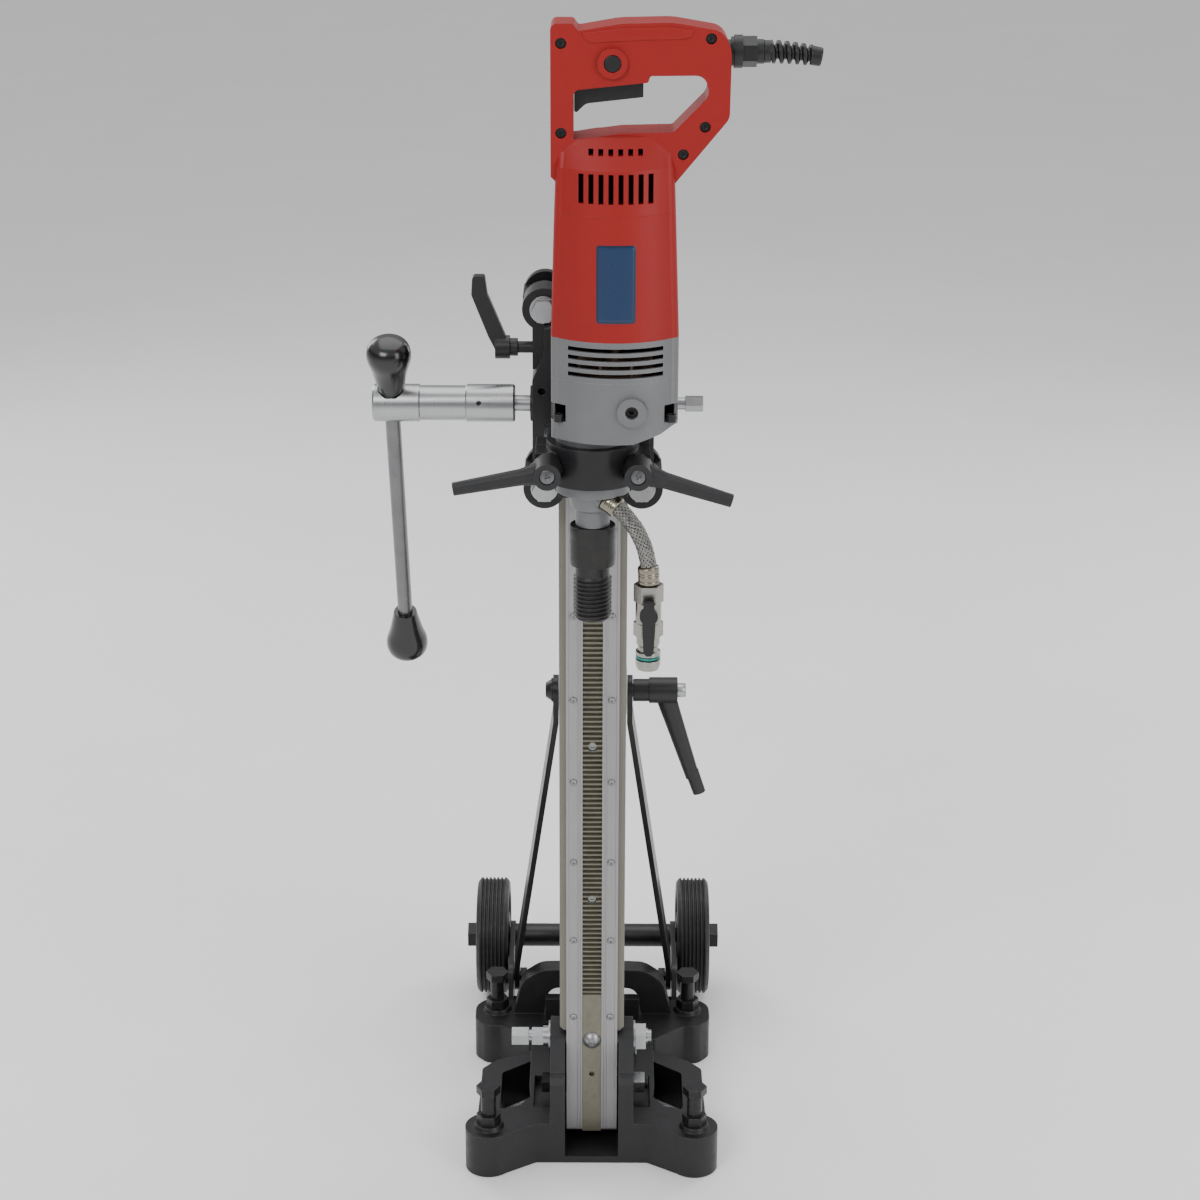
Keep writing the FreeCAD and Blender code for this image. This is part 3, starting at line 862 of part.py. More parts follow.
f1 = sleeve(HOSE[0] + d0 * 2.7, d0, 12.5)
f2 = sleeve(V(45.6, -151.5, 626.9), V(0, 0, 1), 15)
keep("hose_ferrules", feature("hose_ferrules", Part.makeCompound([f1, f2])))
sw = Part.Face(Part.makePolygon([V(10.05, 0, 667), V(14.0, 0, 667), V(14.6, 0, 680), V(17.5, 0, 682.5), V(21.5, 0, 696.6), V(10.05, 0, 696.6), V(10.05, 0, 667)])).revolve(V(0, 0, 0), V(0, 0, 1), 360)
sw.translate(V(0, sy, 0))
port = Part.makeCylinder(9.6, 12, HOSE[0] - d0 * 9.7, d0)
port = port.cut(Part.makeCylinder(12.5, 40, V(0, sy, 670)))
sw = sw.fuse(port).cut(Part.makeCylinder(fr + 0.3, 40, HOSE[0] + d0 * 2.4, d0)).cut(Part.makeCylinder(P["hose_radius"], 40, HOSE[0], d0)).cut(Part.makeCylinder(10.05, 60, V(0, sy, 660)))
keep("water_swivel", feature("water_swivel", sw))
vx, vy = 45.6, -151.5
vb = Part.Face(Part.makePolygon([V(12.2 * math.cos(math.radians(60 * i)), 12.2 * math.sin(math.radians(60 * i)), 0) for i in range(7)]))
v1 = vb.extrude(V(0, 0, 15))
v1.translate(V(vx, vy, 611.5))
v2 = vb.extrude(V(0, 0, 12))
v2.translate(V(vx, vy, 582))
v3 = Part.makeCylinder(10.6, 32, V(vx, vy, 588)).fuse(Part.makeCylinder(5.2, 15, V(vx, vy, 605), V(0, -1, 0)))
vbody = v1.fuse(v2).fuse(v3).cut(Part.makeCylinder(5, 60, V(vx, vy, 575)))
keep("valve_body", feature("valve_body", vbody))
npz = [(3.6, 581.9), (9.6, 581.9), (9.6, 575), (8.2, 573), (8.2, 569.5), (10.2, 568.5), (10.2, 565.5), (8.4, 565), (8.4, 562), (10.2, 561.5), (10.2, 557), (9.0, 553), (3.6, 553)]
keep("valve_nipple", turned("valve_nipple", "Z", (vx, vy), npz))
vl = Part.makeCylinder(7.4, 5.0, V(vx, vy - 15.2, 605), V(0, -1, 0)).fuse(Part.makeBox(9, 5, 12, V(vx - 4.5, vy - 20.2, 605)))
va = Part.Face(Part.makePolygon([V(vx - 5.5, 0, 603), V(vx - 4.2, 0, 574), V(vx - 2, 0, 571), V(vx + 2, 0, 571), V(vx + 4.2, 0, 574), V(vx + 5.5, 0, 603), V(vx - 5.5, 0, 603)])).extrude(V(0, 5, 0))
va.translate(V(0, vy - 20.2, 0))
keep("valve_lever", feature("valve_lever", vl.fuse(va)))

# ------------------------------------------------------------------ check and write
doc.recompute()
bad = []
for o in doc.Objects:
    if "Invalid" in o.State or "Error" in o.State:
        bad.append((o.Name, o.State))
for node, o in FINAL.items():
    s = o.Shape
    if s.isNull() or not s.isValid() or not s.Solids:
        bad.append((node, "shape null, invalid or with no solid"))
if bad:
    for b in bad:
        print("BAD", b)
    raise SystemExit(2)
os.makedirs("parts", exist_ok=True)
for old in os.listdir("parts"):
    if old.endswith(".step") and old[:-5] not in FINAL:
        os.remove(os.path.join("parts", old))
for node, o in FINAL.items():
    o.Shape.exportStep("parts/%s.step" % node)
    bb = o.Shape.BoundBox
    print("%-22s solids %2d vol %9.0f  X %7.1f %7.1f  Y %7.1f %7.1f  Z %7.1f %7.1f" % (node, len(o.Shape.Solids), o.Shape.Volume, bb.XMin, bb.XMax, bb.YMin, bb.YMax, bb.ZMin, bb.ZMax))
print("nodes", len(FINAL))
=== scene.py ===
import math
import bmesh
import bpy
from mathutils import Euler, Matrix, Vector


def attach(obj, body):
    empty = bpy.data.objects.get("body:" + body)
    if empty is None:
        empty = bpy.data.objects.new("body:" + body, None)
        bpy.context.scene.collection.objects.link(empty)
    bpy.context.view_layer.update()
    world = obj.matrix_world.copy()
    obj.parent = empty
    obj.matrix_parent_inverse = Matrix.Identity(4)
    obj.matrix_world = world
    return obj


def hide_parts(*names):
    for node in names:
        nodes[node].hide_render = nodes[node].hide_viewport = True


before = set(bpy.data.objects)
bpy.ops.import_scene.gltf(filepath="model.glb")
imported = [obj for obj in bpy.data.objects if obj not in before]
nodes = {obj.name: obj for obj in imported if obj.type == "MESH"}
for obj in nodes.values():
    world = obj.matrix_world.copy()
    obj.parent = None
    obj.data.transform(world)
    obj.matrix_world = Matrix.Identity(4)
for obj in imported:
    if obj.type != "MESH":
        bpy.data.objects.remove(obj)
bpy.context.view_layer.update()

K = 0.001
scene = bpy.context.scene

# ------------------------------------------------------------------ camera
cam_data = bpy.data.cameras.new("camera")
cam_data.lens = 76.38
cam_data.sensor_width = 36.0
cam_data.clip_end = 60.0
cam = bpy.data.objects.new("camera", cam_data)
scene.collection.objects.link(cam)
cam.matrix_world = (Matrix.Translation((0.0062, -2.086, 1.339)) @ Euler((math.radians(90 - 20.59), 0, 0)).to_matrix().to_4x4()
                    @ Matrix.Rotation(math.radians(0.205), 4, "Z"))
scene.camera = cam


# ------------------------------------------------------------------ mesh helpers (millimetres in, metres out)
def link(name, mesh):
    o = bpy.data.objects.new(name, mesh)
    scene.collection.objects.link(o)
    return o


def finish_mesh(bm, name, sharp=35, merge=1e-3):
    bmesh.ops.remove_doubles(bm, verts=bm.verts, dist=merge)
    bmesh.ops.dissolve_degenerate(bm, edges=bm.edges, dist=1e-4)
    bmesh.ops.recalc_face_normals(bm, faces=bm.faces)
    bmesh.ops.scale(bm, vec=(K, K, K), verts=bm.verts)
    me = bpy.data.meshes.new(name)
    bm.to_mesh(me)
    bm.free()
    me.polygons.foreach_set("use_smooth", [True] * len(me.polygons))
    me.set_sharp_from_angle(angle=math.radians(sharp))
    return link(name, me)


def close_holes(bm):
    edges = [e for e in bm.edges if len(e.link_faces) == 1]
    if edges:
        bmesh.ops.holes_fill(bm, edges=edges, sides=0)


def basis(axis):
    a = Vector(axis).normalized()
    u = Vector((0, 0, 1)) if abs(a.z) < 0.9 else Vector((1, 0, 0))
    x = u.cross(a).normalized()
    return x, a.cross(x).normalized(), a


def lathe_into(bm, prof, origin, axis, seg=72):
    x, y, a = basis(axis)
    o = Vector(origin)
    rings = []
    for r, h in prof:
        if r < 1e-6:
            rings.append([bm.verts.new(o + a * h)] * seg)
        else:
            rings.append([bm.verts.new(o + a * h + (x * math.cos(2 * math.pi * i / seg) + y * math.sin(2 * math.pi * i / seg)) * r) for i in range(seg)])
    for p, q in zip(rings, rings[1:]):
        for i in range(seg):
            j = (i + 1) % seg
            f = []
            for v in (p[i], p[j], q[j], q[i]):
                if v not in f:
                    f.append(v)
            if len(f) > 2:
                bm.faces.new(f)
    return rings


def lathe(name, prof, origin, axis, seg=72, sharp=35):
    bm = bmesh.new()
    lathe_into(bm, prof, origin, axis, seg)
    return finish_mesh(bm, name, sharp)


def rounded(points, n=5):
    # polygon (u, v, r) with rounded corners as a list of points
    out = []
    m = len(points)
    for i in range(m):
        a, b, c = Vector(points[i - 1][:2]), Vector(points[i][:2]), Vector(points[(i + 1) % m][:2])
        r = points[i][2] if len(points[i]) > 2 else 0
        if r <= 0:
            out.append(b)
            continue
        va, vc = (a - b), (c - b)
        la, lc = va.length, vc.length
        va.normalize(); vc.normalize()
        half = math.acos(max(-1, min(1, va.dot(vc)))) / 2
        d = min(r / math.tan(half), 0.49 * la, 0.49 * lc)
        p, q = b + va * d, b + vc * d
        for k in range(n + 1):
            t = k / n
            out.append(p * (1 - t) ** 2 + b * 2 * t * (1 - t) + q * t * t)
    return out


def plate(name, points, origin, u, v, w, lo, hi, edge=0.35, sharp=40, n=5, steps=2):
    # a flat plate with rounded edges: outline in (u, v), thickness along w
    pts = rounded(points, n)
    o, u, v, w = Vector(origin), Vector(u), Vector(v), Vector(w)
    c = sum(pts, Vector((0, 0))) / len(pts)
    m = len(pts)

    def inset(d):
        res = []
        for i in range(m):
            a, b, e = pts[i - 1], pts[i], pts[(i + 1) % m]
            t1 = (b - a).normalized() if (b - a).length > 1e-9 else Vector((0, 0))
            t2 = (e - b).normalized() if (e - b).length > 1e-9 else Vector((0, 0))
            t = (t1 + t2)
            t = t.normalized() if t.length > 1e-9 else t1
            nrm = Vector((-t.y, t.x)) * orient
            k = max(0.35, abs(Vector((-t1.y, t1.x)).dot(Vector((-t.y, t.x)))))
            res.append(b + nrm * (d / k))
        return res

    area = sum(pts[i - 1].x * pts[i].y - pts[i].x * pts[i - 1].y for i in range(m))
    orient = 1 if area > 0 else -1
    levels = []
    for k in range(steps + 1):
        t = math.pi / 2 * k / steps
        levels.append((edge * (1 - math.sin(t)), lo + edge * (1 - math.cos(t))))
    up = [(d, hi - (h - lo)) for d, h in reversed(levels)]
    bm = bmesh.new()
    rings = []
    for d, h in levels + up:
        rings.append([bm.verts.new(o + u * p.x + v * p.y + w * h) for p in inset(d)])
    for p, q in zip(rings, rings[1:]):
        for i in range(m):
            j = (i + 1) % m
            bm.faces.new((p[i], p[j], q[j], q[i]))
    bm.faces.new(rings[0])
    bm.faces.new(rings[-1])
    return finish_mesh(bm, name, sharp)


def boolean(target, cutter, op="DIFFERENCE", sharp=35):
    m = target.modifiers.new("cut", "BOOLEAN")
    m.operation = op
    m.solver = "EXACT"
    m.object = cutter
    bpy.context.view_layer.update()
    dg = bpy.context.evaluated_depsgraph_get()
    me = bpy.data.meshes.new_from_object(target.evaluated_get(dg))
    target.modifiers.clear()
    target.data = me
    bpy.data.objects.remove(cutter)
    me.polygons.foreach_set("use_smooth", [True] * len(me.polygons))
    me.set_sharp_from_angle(angle=math.radians(sharp))
    return target


def frames(pts):
    n = len(pts)
    T = [(pts[min(i + 1, n - 1)] - pts[max(i - 1, 0)]).normalized() for i in range(n)]
    ref = Vector((0, 1, 0)) if abs(T[0].y) < 0.9 else Vector((1, 0, 0))
    N = [(ref - T[0] * ref.dot(T[0])).normalized()]
    for i in range(1, n):
        v = N[-1] - T[i] * N[-1].dot(T[i])
        N.append(v.normalized())
    S = [0.0]
    for i in range(1, n):
        S.append(S[-1] + (pts[i] - pts[i - 1]).length)
    return T, N, [t.cross(m_) for t, m_ in zip(T, N)], S


class Path:
    def __init__(self, pts):
        self.p = pts
        self.T, self.N, self.B, self.S = frames(pts)
        self.length = self.S[-1]

    def at(self, s):
        S = self.S
        s = max(0.0, min(self.length, s))
        lo, hi = 0, len(S) - 1
        while hi - lo > 1:
            m = (lo + hi) // 2
            if S[m] <= s:
                lo = m
            else:
                hi = m
        t = (s - S[lo]) / max(1e-9, S[hi] - S[lo])
        mix = lambda a: a[lo].lerp(a[hi], t)
        return mix(self.p), mix(self.T).normalized(), mix(self.N).normalized(), mix(self.B).normalized()

    def point(self, s, a, r):
        p, t, n, b = self.at(s)
        return p + (n * math.cos(a) + b * math.sin(a)) * r


def swept(name, path, s0, s1, ds, seg, rfun, lead=0.0, sharp=40, cap=True):
    bm = bmesh.new()
    per = max(1, int(round(abs(lead) / ds))) if lead else 0
    if lead:
        ds = abs(lead) / per
    n = int(math.ceil((s1 - s0) / ds)) + per
    grid = []
    for i in range(n + 1):
        row = []
        for k in range(seg):
            a = 2 * math.pi * k / seg
            s = s0 + (i - per) * ds + (lead * k / seg if lead else 0)
            s = max(s0, min(s1, s))
            row.append(bm.verts.new(path.point(s, a, rfun(s, a))))
        grid.append(row)
    for i in range(n):
        for k in range(seg):
            if k < seg - 1:
                q = (grid[i][k], grid[i][k + 1], grid[i + 1][k + 1], grid[i + 1][k])
            elif not lead:
                q = (grid[i][k], grid[i][0], grid[i + 1][0], grid[i + 1][k])
            else:
                a, b = i + per, i + 1 + per
                if b > n:
                    continue
                q = (grid[i][k], grid[a][0], grid[b][0], grid[i + 1][k])
            bm.faces.new(q)
    bmesh.ops.remove_doubles(bm, verts=bm.verts, dist=1e-4)
    bmesh.ops.dissolve_degenerate(bm, edges=bm.edges, dist=1e-4)
    if cap:
        close_holes(bm)
    return finish_mesh(bm, name, sharp, 1e-4)


def line(a, b, n=2):
    a, b = Vector(a), Vector(b)
    return Path([a.lerp(b, i / (n - 1)) for i in range(n)])


# ------------------------------------------------------------------ materials
def link_nodes(nt, a, b):
    nt.links.new(a, b)


def surface(name, color, rough, metal=0.0, tone=0.12, tone_mm=22.0, grain_mm=0.7, grain=0.12, rough_var=0.10, stretch=None,
            wear=None, wear_amount=0.0, radius=0.45, coat=0.0, spec=0.5, fleck=0.0, scratch=0.0, aniso=0.0, dirt=0.0, lines=None):
    m = bpy.data.materials.new(name)
    m.use_nodes = True
    nt = m.node_tree
    bs = nt.nodes["Principled BSDF"]
    N = nt.nodes.new
    L = nt.links.new
    bs.inputs["Metallic"].default_value = metal
    bs.inputs["Specular IOR Level"].default_value = spec
    bs.inputs["Coat Weight"].default_value = coat
    bs.inputs["Coat Roughness"].default_value = 0.18
    bs.inputs["Anisotropic"].default_value = aniso
    tc = N("ShaderNodeTexCoord")
    src = tc.outputs["Object"]

    def noise(size_mm, detail=4.0, rough_=0.55, scale=None, dist=0.0):
        n_ = N("ShaderNodeTexNoise")
        n_.inputs["Scale"].default_value = 1000.0 / size_mm
        n_.inputs["Detail"].default_value = detail
        n_.inputs["Roughness"].default_value = rough_
        n_.inputs["Distortion"].default_value = dist
        if scale:
            mp = N("ShaderNodeMapping")
            mp.inputs["Scale"].default_value = scale
            L(src, mp.inputs["Vector"])
            L(mp.outputs["Vector"], n_.inputs["Vector"])
        else:
            L(src, n_.inputs["Vector"])
        return n_.outputs["Fac"]

    def remap(v, a, b, c, d):
        r = N("ShaderNodeMapRange")
        r.inputs["From Min"].default_value = a
        r.inputs["From Max"].default_value = b
        r.inputs["To Min"].default_value = c
        r.inputs["To Max"].default_value = d
        L(v, r.inputs["Value"])
        return r.outputs["Result"]

    def maths(op, a, b):
        q = N("ShaderNodeMath")
        q.operation = op
        for i, v in enumerate((a, b)):
            if isinstance(v, (int, float)):
                q.inputs[i].default_value = v
            else:
                L(v, q.inputs[i])
        return q.outputs["Value"]

    def mix(fac, a, b):
        q = N("ShaderNodeMix")
        q.data_type = "RGBA"
        L(fac, q.inputs[0])
        for v, s in ((a, 6), (b, 7)):
            if isinstance(v, tuple):
                q.inputs[s].default_value = v
            else:
                L(v, q.inputs[s])
        return q.outputs[2]

    c4 = lambda c, k=1.0: (min(1, c[0] * k), min(1, c[1] * k), min(1, c[2] * k), 1)
    big = noise(tone_mm, 5.0, 0.6)
    col = mix(remap(big, 0.3, 0.7, 0, 1), c4(color, 1 - tone), c4(color, 1 + tone))
    fine = noise(grain_mm, 2.0, 0.5, stretch)
    if fleck:
        col = mix(remap(fine, 0.56, 0.72, 0, fleck), col, c4(color, 1.9))
        low = noise(grain_mm * 1.7, 2.0, 0.5)
        col = mix(remap(low, 0.60, 0.74, 0, fleck), col, c4(color, 0.45))
    mid = noise(grain_mm * 9, 4.0, 0.6, stretch)
    rg = remap(mid, 0.3, 0.7, max(0.03, rough - rough_var), min(1, rough + rough_var))
    height = fine
    if stretch:
        col = mix(remap(fine, 0.3, 0.7, 0, 0.35), col, c4(color, 0.72))
    if scratch:
        sc = N("ShaderNodeTexVoronoi")
        sc.feature = "DISTANCE_TO_EDGE"
        sc.inputs["Scale"].default_value = 45.0
        mp = N("ShaderNodeMapping")
        mp.inputs["Rotation"].default_value = (0.5, 0.3, 0.9)
        mp.inputs["Scale"].default_value = (1.0, 3.0, 0.35)
        L(src, mp.inputs["Vector"])
        L(mp.outputs["Vector"], sc.inputs["Vector"])
        line_ = remap(sc.outputs["Distance"], 0.0, 0.006, scratch, 0.0)
        keepers = remap(noise(30, 3.0), 0.5, 0.62, 0.0, 1.0)
        sm = maths("MULTIPLY", line_, keepers)
        col = mix(sm, col, c4(color, 1.6))
        rg = maths("ADD", rg, maths("MULTIPLY", sm, 0.2))
    if dirt:
        dn = noise(tone_mm * 0.45, 6.0, 0.7)
        dm = remap(dn, 0.5, 0.75, 0.0, dirt)
        col = mix(dm, col, c4(color, 0.5))
        rg = maths("ADD", rg, maths("MULTIPLY", dm, 0.25))
    bev = N("ShaderNodeBevel")
    bev.samples = 6
    bev.inputs["Radius"].default_value = radius * K
    if wear is not None and wear_amount > 0:
        geo = N("ShaderNodeNewGeometry")
        b2 = N("ShaderNodeBevel")
        b2.samples = 6
        b2.inputs["Radius"].default_value = radius * 1.6 * K
        dp = N("ShaderNodeVectorMath")
        dp.operation = "DOT_PRODUCT"
        L(b2.outputs["Normal"], dp.inputs[0])
        L(geo.outputs["Normal"], dp.inputs[1])
        em = remap(dp.outputs["Value"], 0.985, 0.90, 0.0, 1.0)
        br = remap(noise(2.2, 5.0, 0.7), 0.42, 0.62, 0.0, 1.0)
        wm = maths("MULTIPLY", maths("MULTIPLY", em, br), wear_amount)
        col = mix(wm, col, c4(wear))
        rg = maths("ADD", rg, maths("MULTIPLY", wm, -0.08))
    if lines:
        # fine mould or tool marks: a wave along one axis
        wv = N("ShaderNodeTexWave")
        wv.wave_type = "BANDS"
        wv.bands_direction = lines[0]
        wv.inputs["Scale"].default_value = 1000.0 / lines[1] / 6.2832
        wv.inputs["Distortion"].default_value = 0.4
        wv.inputs["Detail"].default_value = 2.0
        L(src, wv.inputs["Vector"])
        height = maths("ADD", height, maths("MULTIPLY", wv.outputs["Fac"], lines[2]))
        col = mix(remap(wv.outputs["Fac"], 0.2, 0.8, 0.0, 0.12), col, c4(color, 0.75))
    bump = N("ShaderNodeBump")
    bump.inputs["Strength"].default_value = min(1.0, grain * 2.5)
    bump.inputs["Distance"].default_value = grain * K
    L(height, bump.inputs["Height"])
    L(bev.outputs["Normal"], bump.inputs["Normal"])
    L(bump.outputs["Normal"], bs.inputs["Normal"])
    L(col, bs.inputs["Base Color"])
    L(rg, bs.inputs["Roughness"])
    return m


M = {}
M["cast_black"] = surface("cast_black", (0.0105, 0.0105, 0.0115), 0.40, 0.0, 0.18, 40, 0.9, 0.14, 0.08, wear=(0.07, 0.07, 0.075), wear_amount=0.45, radius=1.1, spec=0.42, fleck=0.10, dirt=0.2)
M["cast_black_fine"] = surface("cast_black_fine", (0.0085, 0.0085, 0.0095), 0.36, 0.0, 0.16, 30, 0.6, 0.08, 0.08, wear=(0.08, 0.08, 0.085), wear_amount=0.4, radius=0.8, spec=0.42, fleck=0.08)
M["black_oxide"] = surface("black_oxide", (0.022, 0.0215, 0.023), 0.33, 0.5, 0.22, 8, 0.35, 0.04, 0.12, wear=(0.22, 0.22, 0.23), wear_amount=0.5, radius=0.5, scratch=0.1)
M["brace_black"] = surface("brace_black", (0.0095, 0.0095, 0.0102), 0.34, 0.0, 0.18, 26, 0.8, 0.06, 0.08, wear=(0.14, 0.14, 0.145), wear_amount=0.4, radius=0.5, spec=0.5, scratch=0.12)
M["zinc"] = surface("zinc", (0.43, 0.435, 0.44), 0.30, 1.0, 0.05, 14, 0.5, 0.004, 0.04, radius=0.4, dirt=0.08)
M["steel_ground"] = surface("steel_ground", (0.38, 0.385, 0.39), 0.30, 1.0, 0.06, 18, 0.35, 0.005, 0.04, wear=(0.6, 0.6, 0.6), wear_amount=0.12, radius=0.35, dirt=0.15)
M["bar_steel"] = surface("bar_steel", (0.20, 0.20, 0.205), 0.33, 1.0, 0.12, 26, 0.35, 0.02, 0.07, stretch=(6.0, 0.5, 0.12), radius=0.3, dirt=0.2, scratch=0.12)
M["hub_turned"] = surface("hub_turned", (0.44, 0.445, 0.45), 0.30, 1.0, 0.03, 30, 0.30, 0.004, 0.03, stretch=(1.6, 0.03, 0.03), radius=0.45, aniso=0.3)
M["column_alu"] = surface("column_alu", (0.235, 0.225, 0.195), 0.48, 0.6, 0.05, 60, 0.45, 0.015, 0.05, stretch=(2.2, 2.2, 0.02), wear=(0.42, 0.41, 0.39), wear_amount=0.3, radius=0.4, dirt=0.10)
M["rail_alu"] = surface("rail_alu", (0.345, 0.335, 0.34), 0.46, 0.6, 0.04, 60, 0.40, 0.015, 0.05, stretch=(2.6, 2.6, 0.02), wear=(0.55, 0.55, 0.55), wear_amount=0.3, radius=0.25, scratch=0.08)
M["screw_grey"] = surface("screw_grey", (0.15, 0.152, 0.158), 0.34, 0.9, 0.06, 12, 0.5, 0.004, 0.05, radius=0.25)
M["screw_bright"] = surface("screw_bright", (0.30, 0.302, 0.305), 0.34, 0.9, 0.05, 12, 0.5, 0.004, 0.05, radius=0.2)
M["rack_steel"] = surface("rack_steel", (0.19, 0.178, 0.138), 0.42, 0.75, 0.12, 14, 0.5, 0.04, 0.08, wear=(0.46, 0.44, 0.38), wear_amount=0.6, radius=0.28, dirt=0.3)
M["knob"] = surface("knob", (0.0052, 0.0052, 0.0055), 0.22, 0.0, 0.12, 14, 0.8, 0.008, 0.04, radius=0.6, coat=0.3, spec=0.5)
M["lever_black"] = surface("lever_black", (0.0105, 0.0105, 0.0115), 0.38, 0.0, 0.15, 18, 0.5, 0.05, 0.06, wear=(0.07, 0.07, 0.075), wear_amount=0.5, radius=0.5, spec=0.5)
M["rubber"] = surface("rubber", (0.0125, 0.0125, 0.0132), 0.48, 0.0, 0.18, 24, 0.8, 0.05, 0.10, radius=0.5, spec=0.45, dirt=0.2)
M["red"] = surface("red", (0.275, 0.0100, 0.0085), 0.46, 0.0, 0.03, 60, 0.55, 0.04, 0.05, wear=(0.30, 0.022, 0.017), wear_amount=0.3, radius=0.7, spec=0.30, fleck=0.04)
M["grey_cast"] = surface("grey_cast", (0.155, 0.157, 0.160), 0.42, 0.25, 0.05, 30, 0.45, 0.04, 0.06, wear=(0.38, 0.38, 0.38), wear_amount=0.4, radius=0.6, fleck=0.06)
M["black_plastic"] = surface("black_plastic", (0.0085, 0.0085, 0.0092), 0.38, 0.0, 0.12, 16, 0.45, 0.03, 0.06, wear=(0.05, 0.05, 0.05), wear_amount=0.4, radius=0.4, spec=0.45)
M["phosphate"] = surface("phosphate", (0.020, 0.0185, 0.0178), 0.38, 0.25, 0.2, 9, 0.4, 0.02, 0.08, wear=(0.10, 0.09, 0.082), wear_amount=0.3, radius=0.25, dirt=0.2, scratch=0.08)
M["nickel"] = surface("nickel", (0.34, 0.328, 0.30), 0.27, 1.0, 0.05, 14, 0.45, 0.005, 0.04, wear=(0.6, 0.59, 0.55), wear_amount=0.15, radius=0.35, dirt=0.15)
M["ferrule"] = surface("ferrule", (0.27, 0.247, 0.195), 0.22, 1.0, 0.05, 14, 0.4, 0.004, 0.04, radius=0.35, dirt=0.15)
M["copper_iron"] = surface("copper_iron", (0.20, 0.13, 0.09), 0.45, 0.8, 0.3, 5, 0.5, 0.08, 0.1, stretch=(1, 1, 5.0), radius=0.3, dirt=0.3)
M["label"] = surface("label", (0.0075, 0.028, 0.080), 0.30, 0.0, 0.02, 60, 0.6, 0.0, 0.03, radius=0.15, coat=0.2, spec=0.4)
M["label_edge"] = surface("label_edge", (0.005, 0.016, 0.048), 0.32, 0.0, 0.02, 60, 0.6, 0.0, 0.03, radius=0.1, coat=0.2, spec=0.4)
M["teal"] = surface("teal", (0.01, 0.20, 0.17), 0.38, 0.0, 0.15, 5, 0.4, 0.03, 0.06, radius=0.2)
M["dark_hole"] = surface("dark_hole", (0.012, 0.012, 0.012), 0.6, 0.0, 0.2, 4, 0.4, 0.05, 0.1, radius=0.2)

# braid: fine wires across each ribbon, from the ribbon's own coordinates
bm_ = bpy.data.materials.new("braid")
bm_.use_nodes = True
nt_ = bm_.node_tree
b_ = nt_.nodes["Principled BSDF"]
b_.inputs["Metallic"].default_value = 1.0
uvn = nt_.nodes.new("ShaderNodeUVMap")
uvn.uv_map = "wires"
wv_ = nt_.nodes.new("ShaderNodeTexWave")
wv_.bands_direction = "X"
wv_.inputs["Scale"].default_value = 6.0 / 6.2832 * 1.0
nt_.links.new(uvn.outputs["UV"], wv_.inputs["Vector"])
bp_ = nt_.nodes.new("ShaderNodeBump")
bp_.inputs["Strength"].default_value = 0.6
bp_.inputs["Distance"].default_value = 0.00018
nt_.links.new(wv_.outputs["Fac"], bp_.inputs["Height"])
nt_.links.new(bp_.outputs["Normal"], b_.inputs["Normal"])
# painted shade and painted highlight: the colour follows the bump wave, darker in the grooves between the wires and
# lighter on their crowns
wire_shade_highlight_mix = nt_.nodes.new("ShaderNodeMix")
wire_shade_highlight_mix.data_type = "RGBA"
wire_shade_highlight_mix.inputs[6].default_value = (0.30, 0.29, 0.27, 1)
wire_shade_highlight_mix.inputs[7].default_value = (0.74, 0.73, 0.70, 1)
nt_.links.new(wv_.outputs["Fac"], wire_shade_highlight_mix.inputs[0])
ns_ = nt_.nodes.new("ShaderNodeTexNoise")
ns_.inputs["Scale"].default_value = 220.0
tcb = nt_.nodes.new("ShaderNodeTexCoord")
nt_.links.new(tcb.outputs["Object"], ns_.inputs["Vector"])
mr_ = nt_.nodes.new("ShaderNodeMapRange")
mr_.inputs["From Min"].default_value = 0.3
mr_.inputs["From Max"].default_value = 0.7
mr_.inputs["To Min"].default_value = 0.22
mr_.inputs["To Max"].default_value = 0.42
nt_.links.new(ns_.outputs["Fac"], mr_.inputs["Value"])
nt_.links.new(mr_.outputs["Result"], b_.inputs["Roughness"])
nt_.links.new(wire_shade_highlight_mix.outputs[2], b_.inputs["Base Color"])
M["braid"] = bm_

